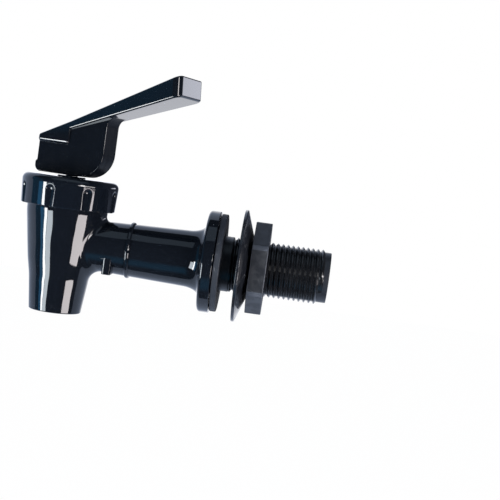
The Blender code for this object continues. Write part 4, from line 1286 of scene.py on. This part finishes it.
def make_floor(drop):
    """Plain pale floor that the camera sees as white with a faint shadow."""
    bm = bmesh.new()
    bmesh.ops.create_grid(bm, x_segments=1, y_segments=1, size=4.0)
    bmesh.ops.translate(bm, verts=bm.verts, vec=(0.0, 0.0, -drop))
    mesh = bpy.data.meshes.new("floor")
    bm.to_mesh(mesh)
    bm.free()
    floor = link("floor", mesh)
    material = bpy.data.materials.new("pale floor")
    material.use_nodes = True
    tree = material.node_tree
    tree.nodes.clear()
    plain = tree.nodes.new("ShaderNodeBsdfDiffuse")
    plain.inputs["Color"].default_value = (0.8, 0.8, 0.8, 1.0)
    glow = tree.nodes.new("ShaderNodeEmission")
    glow.inputs["Strength"].default_value = 1.03
    path = tree.nodes.new("ShaderNodeLightPath")
    mixed = tree.nodes.new("ShaderNodeMixShader")
    seen = math_node(tree, "MULTIPLY", path.outputs["Is Camera Ray"], 0.96)
    tree.links.new(seen, mixed.inputs[0])
    tree.links.new(plain.outputs[0], mixed.inputs[1])
    tree.links.new(glow.outputs[0], mixed.inputs[2])
    leave = tree.nodes.new("ShaderNodeOutputMaterial")
    tree.links.new(mixed.outputs[0], leave.inputs["Surface"])
    mesh.materials.append(material)
    floor.visible_glossy = False  # the plastic shows the world's table instead


def make_camera(stage):
    """Camera at the photograph's angle, looking at CAMERA_AIM and turned about its own axis."""
    a, e, roll = stage.azimuth, stage.elevation, stage.roll
    forward = Vector((-math.sin(a) * math.cos(e), math.cos(a) * math.cos(e), -math.sin(e)))
    right = forward.cross(Vector((0.0, 0.0, 1.0))).normalized()
    up = right.cross(forward)
    right, up = (
        math.cos(roll) * right + math.sin(roll) * up,
        math.cos(roll) * up - math.sin(roll) * right,
    )
    data = bpy.data.cameras.new("camera")
    data.lens = stage.lens
    data.sensor_width = 36.0
    data.clip_start = 0.01
    camera = link("camera", data)
    place = Matrix((right, up, -forward)).transposed().to_4x4()
    place.translation = CAMERA_AIM - forward * stage.distance
    camera.matrix_world = place
    bpy.context.scene.camera = camera


# Operators, one for each piece or group of like pieces


class SPIGOT_OT_body(bpy.types.Operator):
    """Build the moulded body and the thread of its shank"""

    bl_idname = "spigot.body"
    bl_label = "Body and thread"

    def execute(self, context):
        scene = context.scene
        finish = scene.spigot_finish
        body = make_body_shell(scene.spigot_spout, scene.spigot_neck)
        black = plastic("black body plastic", finish.body, finish.gloss, waviness=0.35, dust=0.5)
        dress(body, "spigot_body", "body_plastic", black, "body")
        thread = make_thread(scene.spigot_neck)
        glossy = plastic(
            "glossy thread plastic", finish.thread, 0.12, dull=0.06, grain=0.0012, cloudy=0.3
        )
        dress(thread, "spigot_body", "body_plastic", glossy)
        satin = plastic(
            "satin shank plastic", finish.nut, 0.3, dull=0.12, grain=0.003, cloudy=0.3,
            specular=0.35,
        )
        second_finish(body, satin, shank_face(scene.spigot_neck))
        return {"FINISHED"}


class SPIGOT_OT_bonnet(bpy.types.Operator):
    """Build the fluted bonnet"""

    bl_idname = "spigot.bonnet"
    bl_label = "Bonnet"

    def execute(self, context):
        scene = context.scene
        finish = scene.spigot_finish
        bonnet = make_bonnet_shell(scene.spigot_spout, scene.spigot_bonnet)
        black = plastic("black bonnet plastic", finish.bonnet, finish.gloss, waviness=0.08)
        dress(bonnet, "spigot_body", "bonnet_plastic", black, "bonnet")
        return {"FINISHED"}


class SPIGOT_OT_lever(bpy.types.Operator):
    """Build the lever with its paddle"""

    bl_idname = "spigot.lever"
    bl_label = "Lever"

    def execute(self, context):
        scene = context.scene
        finish = scene.spigot_finish
        lever = make_lever_shell(scene.spigot_spout, scene.spigot_lever)
        black = plastic("black lever plastic", finish.lever, finish.gloss + 0.01, grain=0.0004)
        dress(lever, "tap_lever", "lever_plastic", black, "lever")
        # Painted shade: the block's front, cam corner and throat get a plastic that reflects
        # little, so they stay dark
        dull = plastic(
            "lever plastic with painted shade", finish.lever, 0.35, dull=0.15, grain=0.002, specular=0.05
        )
        second_finish(lever, dull, painted_shade_faces(scene.spigot_spout, scene.spigot_lever))
        return {"FINISHED"}


class SPIGOT_OT_valve(bpy.types.Operator):
    """Build the silicone cup and the spring, and finish the stem, the pin and the spring's ring"""

    bl_idname = "spigot.valve"
    bl_label = "Valve"

    def execute(self, context):
        scene = context.scene
        cup = make_seat_cup(scene.spigot_spout)
        silicone = plastic(
            "white silicone", scene.spigot_finish.silicone, 0.42, dust=0.1, scratches=0.0,
            cloudy=0.05,
        )
        fixed, moving = scene.spigot_spout.top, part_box("seat_cup")[0].z + PLUG_HEIGHT
        dress(cup, "spigot_body", "silicone", silicone, "seat_cup", stretch=(fixed, moving))
        foot, head = (corner.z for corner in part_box("spring"))
        spring = make_spring(scene.spigot_spout, foot, head)
        drawn = steel("spring wire", (0.56, 0.56, 0.55), 0.18)
        fixed, moving = head - 1.0 * MM, foot + 1.0 * MM
        dress(spring, "spigot_body", "spring_steel", drawn, "spring", stretch=(fixed, moving))
        finishes = {
            "stem": plastic("grey stem plastic", (0.30, 0.31, 0.32), 0.38, scratches=0.1),
            "spring_seat": plastic("white ring plastic", (0.74, 0.74, 0.72), 0.4, scratches=0.1),
            "hinge_pin": steel("pin steel", (0.50, 0.51, 0.53), 0.24),
        }
        for node, material in finishes.items():
            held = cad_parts[node].data.materials
            held.clear()
            held.append(material)
        return {"FINISHED"}


class SPIGOT_OT_washers(bpy.types.Operator):
    """Build the flat rubber washer and the cone washer"""

    bl_idname = "spigot.washers"
    bl_label = "Washers"

    def execute(self, context):
        scene = context.scene
        clamp, finish = scene.spigot_clamp, scene.spigot_finish
        flat = make_flat_washer(clamp)
        rubber = plastic(
            "black rubber", finish.rubber, 0.52, dull=0.2, grain=0.006, dust=0.6, scratches=0.4,
            cloudy=0.5, specular=0.35,
        )
        dress(flat, "spigot_body", "washer_rubber", rubber, "flange_washer")
        cone = make_cone_washer(clamp)
        glossy = plastic(
            "black cone washer plastic", finish.cone, 0.14, dull=0.12, waviness=0.1, dust=0.5,
            scratches=0.15, cloudy=0.5,
        )
        dress(cone, "sliding_washer", "cone_washer_plastic", glossy, "nut_washer")
        return {"FINISHED"}


class SPIGOT_OT_nut(bpy.types.Operator):
    """Build the hex lock nut"""

    bl_idname = "spigot.nut"
    bl_label = "Lock nut"

    def execute(self, context):
        scene = context.scene
        nut = make_nut(scene.spigot_clamp)
        satin = plastic(
            "satin black nut plastic", scene.spigot_finish.nut, 0.34, dull=0.18, grain=0.004,
            dust=0.5, scratches=0.15, cloudy=0.4,
        )
        dress(nut, "turning_nut", "nut_plastic", satin, "lock_nut")
        rubbed = plastic(
            "rubbed nut edges", [3.0 * c for c in scene.spigot_finish.nut], 0.42, dull=0.2,
            grain=0.004, dust=0.5, cloudy=0.6,
        )
        second_finish(nut, rubbed, nut_edges(scene.spigot_clamp))
        return {"FINISHED"}


class SPIGOT_OT_stage(bpy.types.Operator):
    """Set the white stage, the soft lights and the camera"""

    bl_idname = "spigot.stage"
    bl_label = "Stage"

    def execute(self, context):
        stage = context.scene.spigot_stage
        make_world(stage.dim)
        make_floor(stage.floor_drop)
        for lamp in LAMPS:
            area_light(stage.light, *lamp)
        make_camera(stage)
        context.scene.view_settings.view_transform = "Standard"
        return {"FINISHED"}


class SPIGOT_PT_panel(bpy.types.Panel):
    """Sidebar list of the spigot's pieces and their sizes"""

    bl_idname = "SPIGOT_PT_panel"
    bl_label = "Dispenser spigot"
    bl_space_type = "VIEW_3D"
    bl_region_type = "UI"
    bl_category = "Spigot"

    def draw(self, context):
        for operator, groups in (
            (SPIGOT_OT_body, ("spigot_spout", "spigot_neck")),
            (SPIGOT_OT_bonnet, ("spigot_bonnet",)),
            (SPIGOT_OT_lever, ("spigot_lever",)),
            (SPIGOT_OT_valve, ()),
            (SPIGOT_OT_washers, ("spigot_clamp",)),
            (SPIGOT_OT_nut, ()),
            (SPIGOT_OT_stage, ("spigot_stage", "spigot_finish")),
        ):
            box = self.layout.box()
            box.operator(operator.bl_idname)
            for name in groups:
                group = getattr(context.scene, name)
                for key in group.bl_rna.properties.keys():
                    if key not in ("rna_type", "name"):
                        box.prop(group, key)


GROUPS = {
    "spigot_spout": SPIGOT_PG_spout,
    "spigot_neck": SPIGOT_PG_neck,
    "spigot_bonnet": SPIGOT_PG_bonnet,
    "spigot_lever": SPIGOT_PG_lever,
    "spigot_clamp": SPIGOT_PG_clamp,
    "spigot_finish": SPIGOT_PG_finish,
    "spigot_stage": SPIGOT_PG_stage,
}
CLASSES = (
    SPIGOT_OT_body,
    SPIGOT_OT_bonnet,
    SPIGOT_OT_lever,
    SPIGOT_OT_valve,
    SPIGOT_OT_washers,
    SPIGOT_OT_nut,
    SPIGOT_OT_stage,
    SPIGOT_PT_panel,
)


def register():
    for name, group in GROUPS.items():
        bpy.utils.register_class(group)
        setattr(bpy.types.Scene, name, bpy.props.PointerProperty(type=group))
    for cls in CLASSES:
        bpy.utils.register_class(cls)


def unregister():
    for cls in reversed(CLASSES):
        bpy.utils.unregister_class(cls)
    for name, group in GROUPS.items():
        delattr(bpy.types.Scene, name)
        bpy.utils.unregister_class(group)


def main():
    register()
    moulded_skin_group()
    mask_group("dust specks", dust_specks)
    mask_group("handling scratches", handling_scratches)
    bpy.ops.spigot.body()
    bpy.ops.spigot.bonnet()
    bpy.ops.spigot.lever()
    bpy.ops.spigot.valve()
    bpy.ops.spigot.washers()
    bpy.ops.spigot.nut()
    bpy.ops.spigot.stage()


if __name__ == "__main__":
    main()
